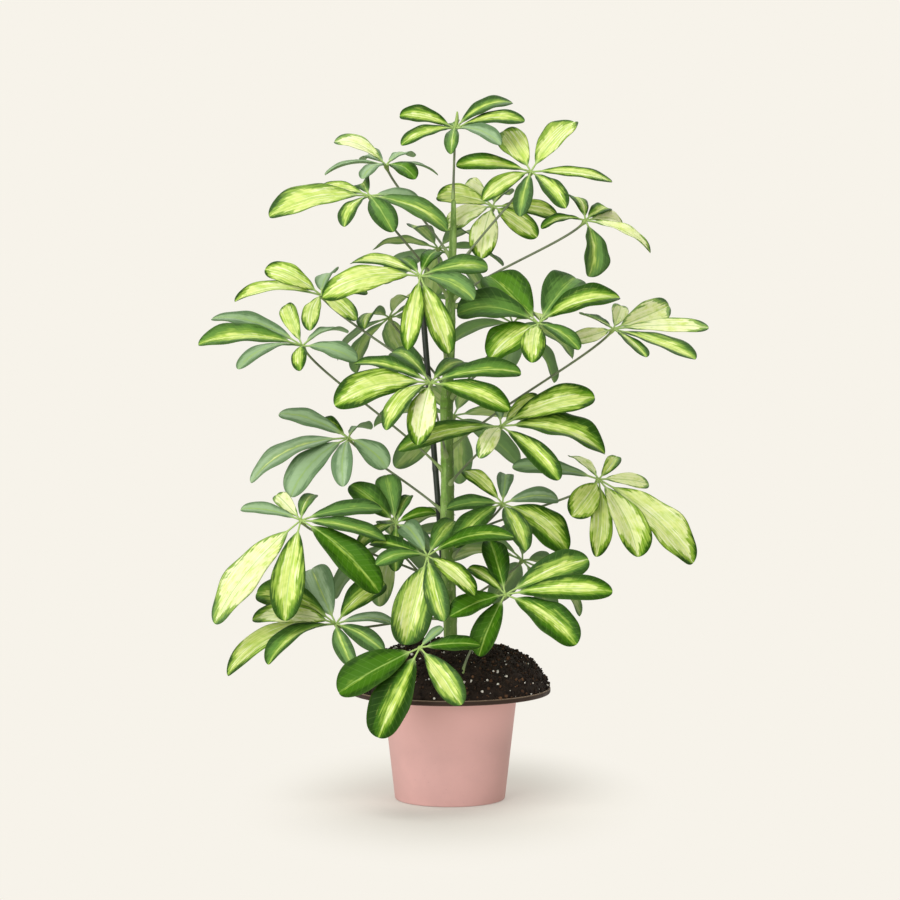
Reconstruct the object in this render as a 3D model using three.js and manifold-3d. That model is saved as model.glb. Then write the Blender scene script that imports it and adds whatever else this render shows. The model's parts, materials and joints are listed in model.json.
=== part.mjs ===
// A variegated umbrella plant in a tapered pink pot, in millimetres, +Z up.
// The origin is the centre of the pot's foot, and the photographed side looks along -Y.
// One woody stem and a dark cane stand in a mound of compost. Every leaf is an umbrella: a long
// stalk that ends in a hub, with a ring of arched leaflets round it. Each leaf is one solid.
import * as THREE from "three";
import { mergeVertices } from "three/addons/utils/BufferGeometryUtils.js";
import Module from "manifold-3d";

const wasm = await Module();
wasm.setup();

// ---- Driving dimensions ----
const CLEARANCE = 0.3; // left between pieces that touch
const POT_HEIGHT = 107;
const POT_TOP_RADIUS = 67.5;
const POT_FOOT_RADIUS = 55.3;
const POT_WALL = 4;
const POT_FLOOR = 5;
const TOP_GAP = 2; // between the pots near the rim
const FOOT_GAP = 1.2; // between the pots near the foot
const TRAY_RADIUS = 101; // the nursery pot's rim spreads well past the pink pot
const TRAY_LIP_TOP = 112.5;
const TRAY_WALL = 2.4;
const MOUND_HEIGHT = 46.5; // compost above the rim
const MOUND_LUMP = 1.6;
const CANE_RADIUS = 3.2;
const CANE_FOOT = [6, 16, 70];
const CANE_TIP = [-27, 12, 487];
const STALK_RADIUS = 1.5; // leaf stalk, thicker where it clasps the stem
const STALK_CLASP_RADIUS = 2.9;
const HUB_RADIUS = 3.6;
const HUB_TOP = 1.4;
const HUB_BOTTOM = -2;
const ROOT_TURN = 0.42; // most that a leaflet's root spreads round the hub to each side, in radians
const BLADE_THICKNESS = 0.8;
const BLADE_HALF_WIDTH = 0.15; // share of the leaflet's length
const BLADE_ARCH = 0.11; // rise of the midrib's middle, as a share of the length
const BLADE_FOLD = 0.2; // rise of the edges over the midrib, as a share of the half width
const BLADE_START = 0.13; // the leaflet's own short stalk ends here
const LEAFLET_ROLL = 0.16; // most that a leaflet is turned about its length, in radians
const BLADE_ROWS = [0.2, 0.42, 0.68, 0.9];

// The stem's centre line and radius, from the buried foot to the crown.
const STEM = [
  { at: [1, 0, 66], radius: 7 },
  { at: [0, 0, 165], radius: 6.8 },
  { at: [-3, 0, 295], radius: 6.6 },
  { at: [-3, 0, 395], radius: 6.2 },
  { at: [0, 0, 485], radius: 5.2 },
  { at: [3, 0, 555], radius: 3.8 },
  { at: [3, 0, 601], radius: 2.6 },
];

// ---- Leaves ----
// hub is the middle of the umbrella. It faces heading degrees from the front (+ is to the right)
// and leans tilt degrees from upright. foot is the height at which its stalk leaves the stem, or
// the point where it leaves the compost. A leaflet is the place of its tip from the hub, and how
// wide it is beside an ordinary one. Leaves at the back are plain rings of leaflets.
const LEAVES = {
  crown: {
    hub: [5, 0, 671], heading: 0, tilt: 34, foot: 602,
    leaflets: [[-55, 6, 13, 1.15], [-53, -28, -17, 0.95], [57, 12, 26, 1.2], [69, -16, 7, 0.95], [48, -40, -16, 0.85],
      [-4, 50, 2], [-4, -46, -26, 0.85]],
    bud: [2, 2, 17],
  },
  top_right: {
    hub: [80, -22, 628], heading: 10, tilt: 42, foot: 525, arch: 0.07,
    leaflets: [[-27, 36, 41, 1.45], [44, 34, 50, 1.2], [-74, -6, 6, 0.95], [80, -8, -10, 0.75], [33, -42, -36],
      [-12, -44, -44, 0.9], [-48, -34, -28, 0.9]],
  },
  top_middle: {
    hub: [43, 38, 594], heading: -20, tilt: 44, foot: 515,
    leaflets: [[-56, 14, 10, 1.3], [-46, -20, -24, 1.4], [44, -22, -31, 1.2], [66, 18, -10], [18, 56, 12],
      [-12, -40, -52, 1.3], [-28, 52, 22]],
  },
  far_top_right: {
    hub: [134, -20, 580], heading: 50, tilt: 40, foot: 500,
    leaflets: [[-13, 35, 24, 1.3], [24, 34, 12, 1.2], [2, -26, -55, 1.7], [64, -5, -32, 0.9], [-44, -8, -8],
      [40, 44, -8]],
  },
  top_left_upper: {
    hub: [-64, 22, 635], heading: -40, tilt: 18, foot: 540,
    leaflets: [[-52, 12, 24, 1.1], [27, 42, 9], [52, -4, -10], [-60, -28, -10], [30, -42, -14, 1.1],
      [-22, -50, -14], [-22, 54, 6]],
  },
  top_left_lower: {
    hub: [-79, -38, 604], heading: -30, tilt: 40, foot: 500,
    leaflets: [[-98, -18, -20, 1.1], [-58, 32, 0, 1.1], [-24, -38, -30, 1.1], [24, -40, -35, 1.3], [76, -8, -34, 0.95],
      [51, 30, -10], [-8, 56, 10]],
  },
  upper_middle: {
    hub: [-29, -82, 526], heading: -5, tilt: 40, foot: 435,
    leaflets: [[-94, -24, -20], [-68, 22, 12], [-12, -34, -70, 0.8], [28, -30, -74, 0.95], [66, 12, 8, 1.2],
      [52, -28, -22, 1.2], [-26, 50, 14], [20, 52, 22]],
  },
  upper_right: {
    hub: [87, -55, 479], heading: 10, tilt: 50, foot: 400,
    leaflets: [[-48, 32, 46, 1.9], [38, 36, 44, 1.8], [79, -8, 26, 1.25], [-48, -30, -34, 2], [-80, -6, 10, 1.5],
      [-8, -44, -36, 1.2], [38, -40, -24, 1.1]],
  },
  far_right: {
    hub: [163, 0, 472], heading: 40, tilt: 42, foot: 349, arch: 0.03,
    leaflets: [[80, -30, -29, 1.25], [58, 40, 22, 1.1], [96, 12, 1, 0.6], [-44, -30, -12], [30, -50, -26, 0.9],
      [10, 48, 22], [-32, 36, 14]],
  },
  upper_left: {
    hub: [-129, 22, 505], heading: -40, tilt: 36, foot: 407,
    leaflets: [[-57, 14, 26, 1.15], [-86, -16, -6, 0.9], [36, -30, -24, 1.1], [12, 46, 22, 1.4], [-10, -40, -34, 1.1],
      [46, 16, 2]],
  },
  far_left: {
    hub: [-146, -28, 456], heading: -40, tilt: 34, foot: 326,
    leaflets: [[-102, -14, 2], [-66, -56, -18, 0.75], [-92, 34, 26, 0.7], [-18, 34, 40], [54, -22, -14, 1.3],
      [44, 26, 12, 1.1], [0, -52, -22, 0.9]],
  },
  middle: {
    hub: [-19, -102, 423], heading: -5, tilt: 38, foot: 340,
    leaflets: [[-92, -24, -20, 1.1], [-74, 16, 18, 0.9], [-12, -44, -57, 1.15], [76, -26, -25, 1.1], [88, 12, 9, 0.8],
      [-38, 44, 28, 1.1], [34, 46, 18, 1.1], [-46, -52, -40, 0.85]],
  },
  right: {
    hub: [50, -68, 379], heading: 20, tilt: 42, foot: 313,
    leaflets: [[92, 8, 28, 1.15], [101, -14, -26, 1.35], [56, -34, -50, 0.9], [-100, -24, -22, 0.9], [40, 38, 24],
      [-22, -44, -28], [-10, 50, 24]],
  },
  left: {
    hub: [-102, 14, 362], heading: -40, tilt: 40, foot: 285,
    leaflets: [[-70, 6, 24, 0.9], [-97, -22, -43, 0.95], [-56, -40, -56, 1.3], [39, -16, -29, 1.5], [-30, 44, 12],
      [-14, -44, -46], [22, 44, 6]],
  },
  lower_left: {
    hub: [-147, -52, 285], heading: -25, tilt: 42, foot: 213, arch: 0.08,
    leaflets: [[-84, -26, -99, 1.05], [-14, -38, -95], [78, -40, -67], [80, 8, 10], [84, -20, -18, 0.9],
      [-60, 10, 10, 0.8], [12, 42, 22], [-26, 40, 22, 0.9]],
  },
  lower_middle_left: {
    hub: [-54, -22, 279], heading: -10, tilt: 46, foot: 227,
    leaflets: [[-45, 24, 38, 1.4], [-10, 30, 46, 1.4], [14, 28, 26], [-38, -26, -24], [40, 10, 10],
      [0, -36, -44], [36, -28, -26]],
  },
  bottom_left: {
    hub: [-113, -42, 181], heading: -25, tilt: 40, foot: 181,
    leaflets: [[-80, 28, 28, 1.1], [-82, -14, 6, 1.1], [-64, -50, -33, 1.1], [-106, -24, -48, 0.9], [-26, 38, 50, 1.5],
      [48, 18, 39, 1.5], [64, -4, -4], [18, -38, -38], [48, -30, -24]],
  },
  lower_middle: {
    hub: [-22, -87, 253], heading: -5, tilt: 46, foot: 195,
    leaflets: [[-22, -22, -84, 1.35], [16, -32, -60], [46, -38, -34, 1.1], [-50, -20, -6], [84, -10, 20, 0.9],
      [-28, 40, 26, 1.2], [26, 44, 30, 1.2], [-56, 24, 10, 0.9]],
  },
  bottom_right: {
    hub: [54, -92, 216], heading: 5, tilt: 48, arch: 0.08, foot: [12, -80, 132],
    leaflets: [[-15, 30, 50, 1.3], [82, 22, 32, 1.1], [104, -12, 4, 0.85], [68, -40, -44, 1.2], [-26, -18, -58, 1.3],
      [-54, -28, -18, 1.25], [-36, 22, 24]],
  },
  lower_right: {
    hub: [52, -36, 300], heading: 5, tilt: 46, foot: 239,
    leaflets: [[-55, -8, -4, 1.05], [-47, -46, -39, 1.1], [64, -16, -46, 1.5], [22, -46, -42, 1.2], [56, 24, 2],
      [-38, 34, 30], [4, 44, 26]],
  },
  far_lower_right: {
    hub: [148, -18, 323], heading: 30, tilt: 42, foot: 257, arch: 0.06,
    leaflets: [[36, -56, -72, 1.35], [94, -6, -83, 1.15], [-28, -36, -34, 1.6], [-4, -34, -74], [-86, 4, 12, 0.75],
      [20, 40, 20, 0.9], [52, 34, -8, 0.9], [-28, 38, 20]],
  },
  bottom_middle: {
    hub: [-29, -132, 169], heading: -10, tilt: 50, foot: [-16, -84, 128], arch: 0.08,
    leaflets: [[-78, -12, -42, 1.3], [-40, -22, -84, 1.3], [40, -24, -52, 1.15], [58, 4, 2], [22, 16, 18]],
  },
  back_top: { hub: [-12, 88, 551], heading: 172, tilt: 36, foot: 481, ring: { count: 7, reach: 68, turn: 25 } },
  back_upper_left: { hub: [-62, 74, 481], heading: -130, tilt: 35, foot: 410, ring: { count: 7, reach: 72, turn: 20 } },
  back_upper_right: { hub: [64, 80, 475], heading: 145, tilt: 38, foot: 393, ring: { count: 7, reach: 78, turn: 0 } },
  back_middle: { hub: [4, 108, 379], heading: 178, tilt: 42, foot: 300, ring: { count: 7, reach: 82, turn: 10 } },
  back_lower_left: { hub: [-58, 84, 251], heading: -145, tilt: 42, foot: 191, ring: { count: 7, reach: 80, turn: 5 } },
  back_lower_right: { hub: [74, 70, 233], heading: 135, tilt: 42, foot: 185, ring: { count: 7, reach: 80, turn: 15 } },
};

// ---- Helpers ----
const vector = ([x, y, z]) => new THREE.Vector3(x, y, z);

// A closed mesh as a solid that can be joined and cut.
function toSolid(geometry) {
  const bare = geometry.clone();
  bare.deleteAttribute("normal");
  bare.deleteAttribute("uv");
  const merged = mergeVertices(bare, 1e-4);
  return new wasm.Manifold(
    new wasm.Mesh({
      numProp: 3,
      vertProperties: new Float32Array(merged.attributes.position.array),
      triVerts: new Uint32Array(merged.index.array),
    }),
  );
}

function toGeometry(solid) {
  const mesh = solid.getMesh();
  const geometry = new THREE.BufferGeometry();
  geometry.setAttribute("position", new THREE.BufferAttribute(new Float32Array(mesh.vertProperties), 3));
  geometry.setIndex(new THREE.BufferAttribute(new Uint32Array(mesh.triVerts), 1));
  geometry.computeVertexNormals();
  return geometry;
}

function fromTriangles(points, triangles) {
  const geometry = new THREE.BufferGeometry();
  geometry.setAttribute("position", new THREE.Float32BufferAttribute(points.flatMap((p) => p.toArray()), 3));
  geometry.setIndex(triangles.flat());
  return geometry;
}

// A round bar through the given points, whose radius changes from point to point. extra makes it
// that much larger all round, at its ends too.
function taperedBar(path, radii, sides, extra = 0) {
  const points = path.map((point) => point.clone());
  const [first, second] = path;
  const [before, end] = path.slice(-2);
  points[0].addScaledVector(first.clone().sub(second).normalize(), extra);
  points[path.length - 1].addScaledVector(end.clone().sub(before).normalize(), extra);
  const rows = points.map((point, i) => {
    const radius = radii[i] + extra;
    const ahead = points[Math.min(i + 1, points.length - 1)];
    const behind = points[Math.max(i - 1, 0)];
    const along = ahead.clone().sub(behind).normalize();
    const across = Math.abs(along.z) < 0.9 ? new THREE.Vector3(0, 0, 1) : new THREE.Vector3(1, 0, 0);
    const u = across.clone().addScaledVector(along, -across.dot(along)).normalize();
    const v = along.clone().cross(u);
    return Array.from({ length: sides }, (_, k) => {
      const angle = (2 * Math.PI * k) / sides;
      return point
        .clone()
        .addScaledVector(u, radius * Math.cos(angle))
        .addScaledVector(v, radius * Math.sin(angle));
    });
  });
  const triangles = [];
  for (let i = 0; i + 1 < rows.length; i++)
    for (let k = 0; k < sides; k++) {
      const a = i * sides + k;
      const b = i * sides + ((k + 1) % sides);
      triangles.push([a, b, b + sides], [a, b + sides, a + sides]);
    }
  const last = (rows.length - 1) * sides;
  for (let k = 1; k + 1 < sides; k++) triangles.push([0, k + 1, k], [last, last + k, last + k + 1]);
  return toSolid(fromTriangles(rows.flat(), triangles));
}

// Turns a closed outline of [radius, height] pairs round the Z axis.
function turned(outline, segments) {
  const profile = outline.map((p) => new THREE.Vector2(...p));
  return toSolid(new THREE.LatheGeometry(profile, segments).rotateX(Math.PI / 2));
}

// The same draws every time, between -1 and 1.
function seededDraws(seed) {
  let state = seed;
  return () => {
    state = (state * 16807) % 2147483647;
    return (2 * state) / 2147483647 - 1;
  };
}

// ---- Pot, nursery pot and compost ----
function pinkPot() {
  const innerTop = POT_TOP_RADIUS - POT_WALL;
  const innerFoot = POT_FOOT_RADIUS - POT_WALL;
  return turned(
    [
      [0, 0], [38, 0], [38.8, 1.4], [42.2, 1.4], [43, 0], [POT_FOOT_RADIUS - 1.6, 0], [POT_FOOT_RADIUS, 1.6],
      [POT_TOP_RADIUS, POT_HEIGHT - 1.2], [POT_TOP_RADIUS - 0.9, POT_HEIGHT], [innerTop + 0.9, POT_HEIGHT],
      [innerTop, POT_HEIGHT - 1.2], [innerFoot, POT_FLOOR], [0, POT_FLOOR],
    ],
    40,
  );
}

const NURSERY_TOP_RADIUS = POT_TOP_RADIUS - POT_WALL - TOP_GAP;
const NURSERY_FOOT_RADIUS = POT_FOOT_RADIUS - POT_WALL - FOOT_GAP;
const TRAY_BOTTOM = POT_HEIGHT + CLEARANCE;
const TRAY_TOP = TRAY_BOTTOM + TRAY_WALL;

function nurseryPot() {
  const foot = POT_FLOOR + CLEARANCE;
  return turned(
    [
      [0, foot], [NURSERY_FOOT_RADIUS, foot], [NURSERY_TOP_RADIUS, TRAY_BOTTOM], [TRAY_RADIUS - 1.5, TRAY_BOTTOM],
      [TRAY_RADIUS, TRAY_BOTTOM + 1.5], [TRAY_RADIUS, TRAY_LIP_TOP], [TRAY_RADIUS - TRAY_WALL, TRAY_LIP_TOP],
      [TRAY_RADIUS - TRAY_WALL, TRAY_TOP], [NURSERY_TOP_RADIUS - TRAY_WALL, TRAY_TOP],
      [NURSERY_FOOT_RADIUS - TRAY_WALL, foot + TRAY_WALL], [0, foot + TRAY_WALL],
    ],
    40,
  );
}

// Height of the compost at a radius, before its lumps.
function moundHeight(radius) {
  const share = Math.min(1, radius / (TRAY_RADIUS - TRAY_WALL));
  return TRAY_LIP_TOP - 2 + (MOUND_HEIGHT + 2) * Math.sqrt(1 - share * share);
}

function compost() {
  const foot = POT_FLOOR + TRAY_WALL + 2 * CLEARANCE;
  const edge = TRAY_RADIUS - TRAY_WALL - CLEARANCE;
  const profile = [
    [0, foot], [NURSERY_FOOT_RADIUS - TRAY_WALL - CLEARANCE, foot],
    [NURSERY_TOP_RADIUS - TRAY_WALL - CLEARANCE, TRAY_TOP + CLEARANCE], [edge, TRAY_TOP + CLEARANCE],
    ...[1, 0.93, 0.8, 0.62, 0.42, 0.2, 0].map((share) => [edge * share, moundHeight(edge * share)]),
  ];
  const geometry = new THREE.LatheGeometry(profile.map((p) => new THREE.Vector2(...p)), 28);
  const place = geometry.attributes.position;
  for (let i = 0; i < place.count; i++) {
    // LatheGeometry turns round Y, so its Y is this part's height.
    const [x, height, z] = [place.getX(i), place.getY(i), place.getZ(i)];
    const radius = Math.hypot(x, z);
    if (height < TRAY_LIP_TOP - 1 || radius > edge - 1) continue;
    const lump = Math.sin(0.11 * x + 1) * Math.cos(0.13 * z) + 0.6 * Math.sin(0.23 * z + 0.17 * x);
    place.setY(i, height + MOUND_LUMP * lump);
  }
  return toSolid(geometry.rotateX(Math.PI / 2));
}

// ---- Stem, cane and leaf stalks ----
function stemPoint(height) {
  const above = STEM.findIndex((row) => row.at[2] > height);
  if (above < 1) return vector(STEM[above === 0 ? 0 : STEM.length - 1].at);
  const [low, high] = [STEM[above - 1], STEM[above]];
  const share = (height - low.at[2]) / (high.at[2] - low.at[2]);
  return vector(low.at).lerp(vector(high.at), share);
}

const stemSolid = (extra) =>
  taperedBar(
    STEM.map((row) => vector(row.at)),
    STEM.map((row) => row.radius),
    10,
    extra,
  );

const caneSolid = (extra) => taperedBar([CANE_FOOT, CANE_TIP].map(vector), [CANE_RADIUS, CANE_RADIUS], 8, extra);

function facing(leaf) {
  const [tilt, heading] = [leaf.tilt, leaf.heading].map(THREE.MathUtils.degToRad);
  return new THREE.Vector3(
    Math.sin(tilt) * Math.sin(heading),
    -Math.sin(tilt) * Math.cos(heading),
    Math.cos(tilt),
  );
}

// The stalk's centre line: out of the stem and up, then into the hub along the way it faces.
function stalkCurve(leaf) {
  const hub = vector(leaf.hub);
  const inSoil = Array.isArray(leaf.foot);
  const foot = inSoil ? vector(leaf.foot) : stemPoint(leaf.foot);
  const span = hub.distanceTo(foot);
  const outOfStem = hub.clone().sub(foot).setLength(0.3).add(new THREE.Vector3(0, 0, 0.05));
  const leave = inSoil ? new THREE.Vector3(0, 0, 0.3) : outOfStem;
  return new THREE.CubicBezierCurve3(
    foot,
    foot.clone().addScaledVector(leave, span),
    hub.clone().addScaledVector(facing(leaf), -0.16 * span),
    hub,
  );
}

function stalk(leaf, extra = 0) {
  const points = stalkCurve(leaf).getPoints(5);
  const radii = points.map((_, i) => (i === 0 ? STALK_CLASP_RADIUS : STALK_RADIUS));
  return taperedBar(points, radii, 5, extra);
}

// ---- Leaflets ----
// Half the blade's width at a share of its length, beside its widest.
function bladeWidth(share) {
  const u = Math.max(0, (share - BLADE_START) / (1 - BLADE_START));
  return 2.47 * Math.pow(u, 0.85) * Math.pow(1 - u, 0.52);
}

// The points of one leaflet from the hub's middle to its tip, arched along the midrib and folded up
// at the edges. Each row has six: left, middle and right of the top face, then of the underside.
function leafletRows({ tip, wide, roll, arch }, axis) {
  const length = tip.length();
  const along = tip.clone().normalize();
  const up = axis.clone().addScaledVector(along, -axis.dot(along)).normalize().applyAxisAngle(along, roll);
  const side = along.clone().cross(up);
  const rise = 4 * arch * length;
  const points = [];
  for (const share of [...BLADE_ROWS, 1]) {
    const middle = tip.clone().multiplyScalar(share).addScaledVector(up, rise * share * (1 - share));
    const slope = along.clone().multiplyScalar(length).addScaledVector(up, rise * (1 - 2 * share));
    const normal = side.clone().cross(slope).normalize();
    const width = BLADE_HALF_WIDTH * length * wide * bladeWidth(share);
    for (const face of [0.5, -0.5])
      for (const across of share < 1 ? [-1, 0, 1] : [0])
        points.push(
          middle
            .clone()
            .addScaledVector(side, across * width)
            .addScaledVector(normal, Math.abs(across) * BLADE_FOLD * width + face * BLADE_THICKNESS),
        );
  }
  return points;
}

// Faces between the hub's four corners and a leaflet's first row, between its rows, and at its tip.
const ROOT_FACES = (tl, tr, br, bl, row) => [
  [tl, tr, row + 1], [tl, row + 1, row], [tr, row + 2, row + 1],
  [bl, row + 4, br], [bl, row + 3, row + 4], [br, row + 4, row + 5],
  [tl, row, row + 3], [tl, row + 3, bl], [tr, br, row + 5], [tr, row + 5, row + 2],
];
const ROW_FACES = (a, b) => [
  [a, a + 1, b + 1], [a, b + 1, b], [a + 1, a + 2, b + 1], [a + 2, b + 2, b + 1],
  [a + 3, b + 4, a + 4], [a + 3, b + 3, b + 4], [a + 4, b + 4, a + 5], [a + 5, b + 4, b + 5],
  [a, b, b + 3], [a, b + 3, a + 3], [a + 2, a + 5, b + 5], [a + 2, b + 5, b + 2],
];
const TIP_FACES = (a, tip) => [
  [a, a + 1, tip], [a + 1, a + 2, tip], [a + 3, tip + 1, a + 4], [a + 4, tip + 1, a + 5],
  [a, tip, tip + 1], [a, tip + 1, a + 3], [a + 2, a + 5, tip + 1], [a + 2, tip + 1, tip],
];

// A many-sided hub whose side faces grow out into the leaflets, all as one skin.
function umbrella(leaflets, axis) {
  const level = new THREE.Vector3(0, 0, 1).cross(axis).normalize();
  const uphill = axis.clone().cross(level);
  const sorted = leaflets
    .map((leaflet) => ({ ...leaflet, angle: Math.atan2(leaflet.tip.dot(uphill), leaflet.tip.dot(level)) }))
    .sort((a, b) => a.angle - b.angle);
  const points = [];
  const triangles = [];
  const corner = (angle) => {
    const out = level.clone().multiplyScalar(Math.cos(angle)).addScaledVector(uphill, Math.sin(angle));
    for (const height of [HUB_TOP, HUB_BOTTOM])
      points.push(out.clone().multiplyScalar(HUB_RADIUS).addScaledVector(axis, height));
    return points.length - 2;
  };
  const sides = sorted.map(({ angle }, i) => {
    const turn = (step) => {
      const gap = sorted.at((i + step) % sorted.length).angle - angle;
      return (gap + 4 * Math.PI) % (2 * Math.PI);
    };
    const [before, after] = [2 * Math.PI - turn(-1), turn(1)];
    return { from: angle - Math.min(before / 2, ROOT_TURN), to: angle + Math.min(after / 2, ROOT_TURN), after };
  });
  let previous = corner(sides[0].from);
  const first = previous;
  sides.forEach(({ to, after }, i) => {
    const closes = i + 1 === sides.length;
    const meets = after / 2 <= ROOT_TURN;
    const right = previous;
    const left = closes && meets ? first : corner(to);
    sorted[i].corners = [left, right];
    previous = closes || meets ? left : corner(sides[i + 1].from);
    if (!meets) {
      const next = closes ? first : previous;
      triangles.push([left, left + 1, next + 1], [left, next + 1, next]);
    }
  });
  for (let i = 2; i + 2 < points.length; i += 2) triangles.push([0, i, i + 2], [1, i + 3, i + 1]);
  for (const leaflet of sorted) {
    const [left, right] = leaflet.corners;
    const row = points.length;
    points.push(...leafletRows(leaflet, axis));
    triangles.push(...ROOT_FACES(left, right, right + 1, left + 1, row));
    const last = row + 6 * (BLADE_ROWS.length - 1);
    for (let a = row; a < last; a += 6) triangles.push(...ROW_FACES(a, a + 6));
    triangles.push(...TIP_FACES(last, last + 6));
  }
  return fromTriangles(points, triangles);
}

// Tips of a plain ring of leaflets that droop a little below the way the leaf faces.
function ringOfTips({ count, reach, turn }, axis) {
  const level = new THREE.Vector3(0, 0, 1).cross(axis).normalize();
  const uphill = axis.clone().cross(level);
  return Array.from({ length: count }, (_, i) => {
    const angle = THREE.MathUtils.degToRad(turn + (360 * i) / count);
    const tip = level.clone().multiplyScalar(reach * Math.cos(angle)).addScaledVector(uphill, reach * Math.sin(angle));
    return tip.addScaledVector(axis, -0.32 * reach);
  });
}

function leafSolid(name, seed, cutter) {
  const leaf = LEAVES[name];
  const axis = facing(leaf);
  const hub = vector(leaf.hub);
  const draw = seededDraws(seed);
  const tips = leaf.ring ? ringOfTips(leaf.ring, axis) : leaf.leaflets.map(vector);
  const leaflets = tips.map((tip, i) => ({
    tip,
    wide: leaf.leaflets?.[i][3] ?? 1,
    roll: LEAFLET_ROLL * draw(),
    arch: leaf.arch ?? BLADE_ARCH,
  }));
  let whole = toSolid(umbrella(leaflets, axis).translate(...leaf.hub)).add(stalk(leaf).subtract(cutter));
  if (leaf.bud) {
    const bud = [0, 0.5, 1].map((share) => hub.clone().addScaledVector(vector(leaf.bud), share));
    whole = whole.add(taperedBar(bud, [1.6, 2, 0.6], 5));
  }
  return whole;
}

// ---- The plant ----
const colours = {
  pink: new THREE.MeshStandardMaterial({ color: 0xd9aa9f, roughness: 0.6 }),
  brown: new THREE.MeshStandardMaterial({ color: 0x5a3a2c, roughness: 0.5 }),
  compost: new THREE.MeshStandardMaterial({ color: 0x271c14, roughness: 0.95 }),
  bark: new THREE.MeshStandardMaterial({ color: 0x6b8a3c, roughness: 0.7 }),
  cane: new THREE.MeshStandardMaterial({ color: 0x1f291f, roughness: 0.4 }),
  leaf: new THREE.MeshStandardMaterial({ color: 0x5f9a33, roughness: 0.45 }),
};

const plant = new THREE.Group();

function add(name, solid, material) {
  const mesh = new THREE.Mesh(toGeometry(solid), material);
  mesh.name = name;
  plant.add(mesh);
}

const LEAF_NAMES = Object.keys(LEAVES);
const standsInSoil = (name) => Array.isArray(LEAVES[name].foot);
const holes = LEAF_NAMES.filter(standsInSoil)
  .map((name) => stalk(LEAVES[name], CLEARANCE))
  .reduce((all, hole) => all.add(hole), stemSolid(CLEARANCE).add(caneSolid(CLEARANCE)));

add("pink_pot", pinkPot(), colours.pink);
add("nursery_pot", nurseryPot(), colours.brown);
add("compost", compost().subtract(holes), colours.compost);
add("stem", stemSolid(0), colours.bark);
add("cane", caneSolid(0), colours.cane);
const aroundStem = stemSolid(CLEARANCE);
LEAF_NAMES.forEach((name, i) => {
  add("leaf_" + name, leafSolid(name, 101 + 7 * i, aroundStem), colours.leaf);
});

export default plant;
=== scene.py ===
"""A variegated umbrella plant in a pink pot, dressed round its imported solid. Metres, +Z up."""

import json
import math
import random

import bmesh
import bpy
from bpy.props import FloatProperty, FloatVectorProperty, IntProperty, PointerProperty
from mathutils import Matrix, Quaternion, Vector, noise

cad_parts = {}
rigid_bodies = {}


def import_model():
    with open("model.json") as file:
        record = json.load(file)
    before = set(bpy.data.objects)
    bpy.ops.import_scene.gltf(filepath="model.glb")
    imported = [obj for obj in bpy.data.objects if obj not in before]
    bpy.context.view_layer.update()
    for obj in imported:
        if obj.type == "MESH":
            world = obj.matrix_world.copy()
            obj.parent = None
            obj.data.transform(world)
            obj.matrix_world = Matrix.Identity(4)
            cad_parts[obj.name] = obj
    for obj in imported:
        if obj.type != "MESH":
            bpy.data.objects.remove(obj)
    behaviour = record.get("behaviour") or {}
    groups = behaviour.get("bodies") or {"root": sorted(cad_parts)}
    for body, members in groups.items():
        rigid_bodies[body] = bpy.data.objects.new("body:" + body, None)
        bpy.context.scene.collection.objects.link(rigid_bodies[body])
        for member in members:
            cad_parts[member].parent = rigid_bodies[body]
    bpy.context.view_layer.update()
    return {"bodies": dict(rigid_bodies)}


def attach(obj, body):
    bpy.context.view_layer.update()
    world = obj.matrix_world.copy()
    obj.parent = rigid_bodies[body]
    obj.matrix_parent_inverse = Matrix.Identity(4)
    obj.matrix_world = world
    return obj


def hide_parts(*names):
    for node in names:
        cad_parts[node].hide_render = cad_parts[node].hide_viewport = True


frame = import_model()

bl_info = {
    "name": "Potted umbrella plant",
    "version": (1, 0, 0),
    "blender": (4, 5, 0),
    "location": "3D View > Sidebar > Umbrella plant",
    "description": "Builds a variegated umbrella plant in a pink pot, piece by piece",
    "category": "Object",
}

MM = 0.001
(BODY,) = frame["bodies"]  # the plant has one body


# ---- The plant's plan, in millimetres ----

STEM_PATH = [
    # x, y, z, radius
    (1, 0, 66, 7), (0, 0, 165, 6.8), (-3, 0, 295, 6.6), (-3, 0, 395, 6.2), (0, 0, 485, 5.2),
    (3, 0, 555, 3.8), (3, 0, 601, 2.3),
]
CANE_ENDS = ((6, 16, 70), (-27, 12, 487))

# What a letter in a leaf's tints says about a leaflet: the share of the blade that is yellow, how
# far the yellow goes towards cream, and how much painted sheen greys its green, or below 0 how much
# painted shade deepens it.
TINTS = {
    "Y": (0.8, 0.2, 0.05),
    "y": (0.56, 0.15, 0.05),
    "l": (0.34, 0.05, 0.05),
    "g": (0.14, 0.0, 0.15),
    "d": (0.0, 0.0, 0.05),
    "D": (0.0, 0.0, -0.7),
    "L": (0.2, 0.0, -0.75),
    "s": (0.03, 0.2, 0.7),
    "S": (0.1, 0.2, 1.0),
    "p": (0.95, 0.8, 0.3),
    "w": (0.84, 0.9, 0.1),
    "v": (0.86, 0.5, 0.0),
}

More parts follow.
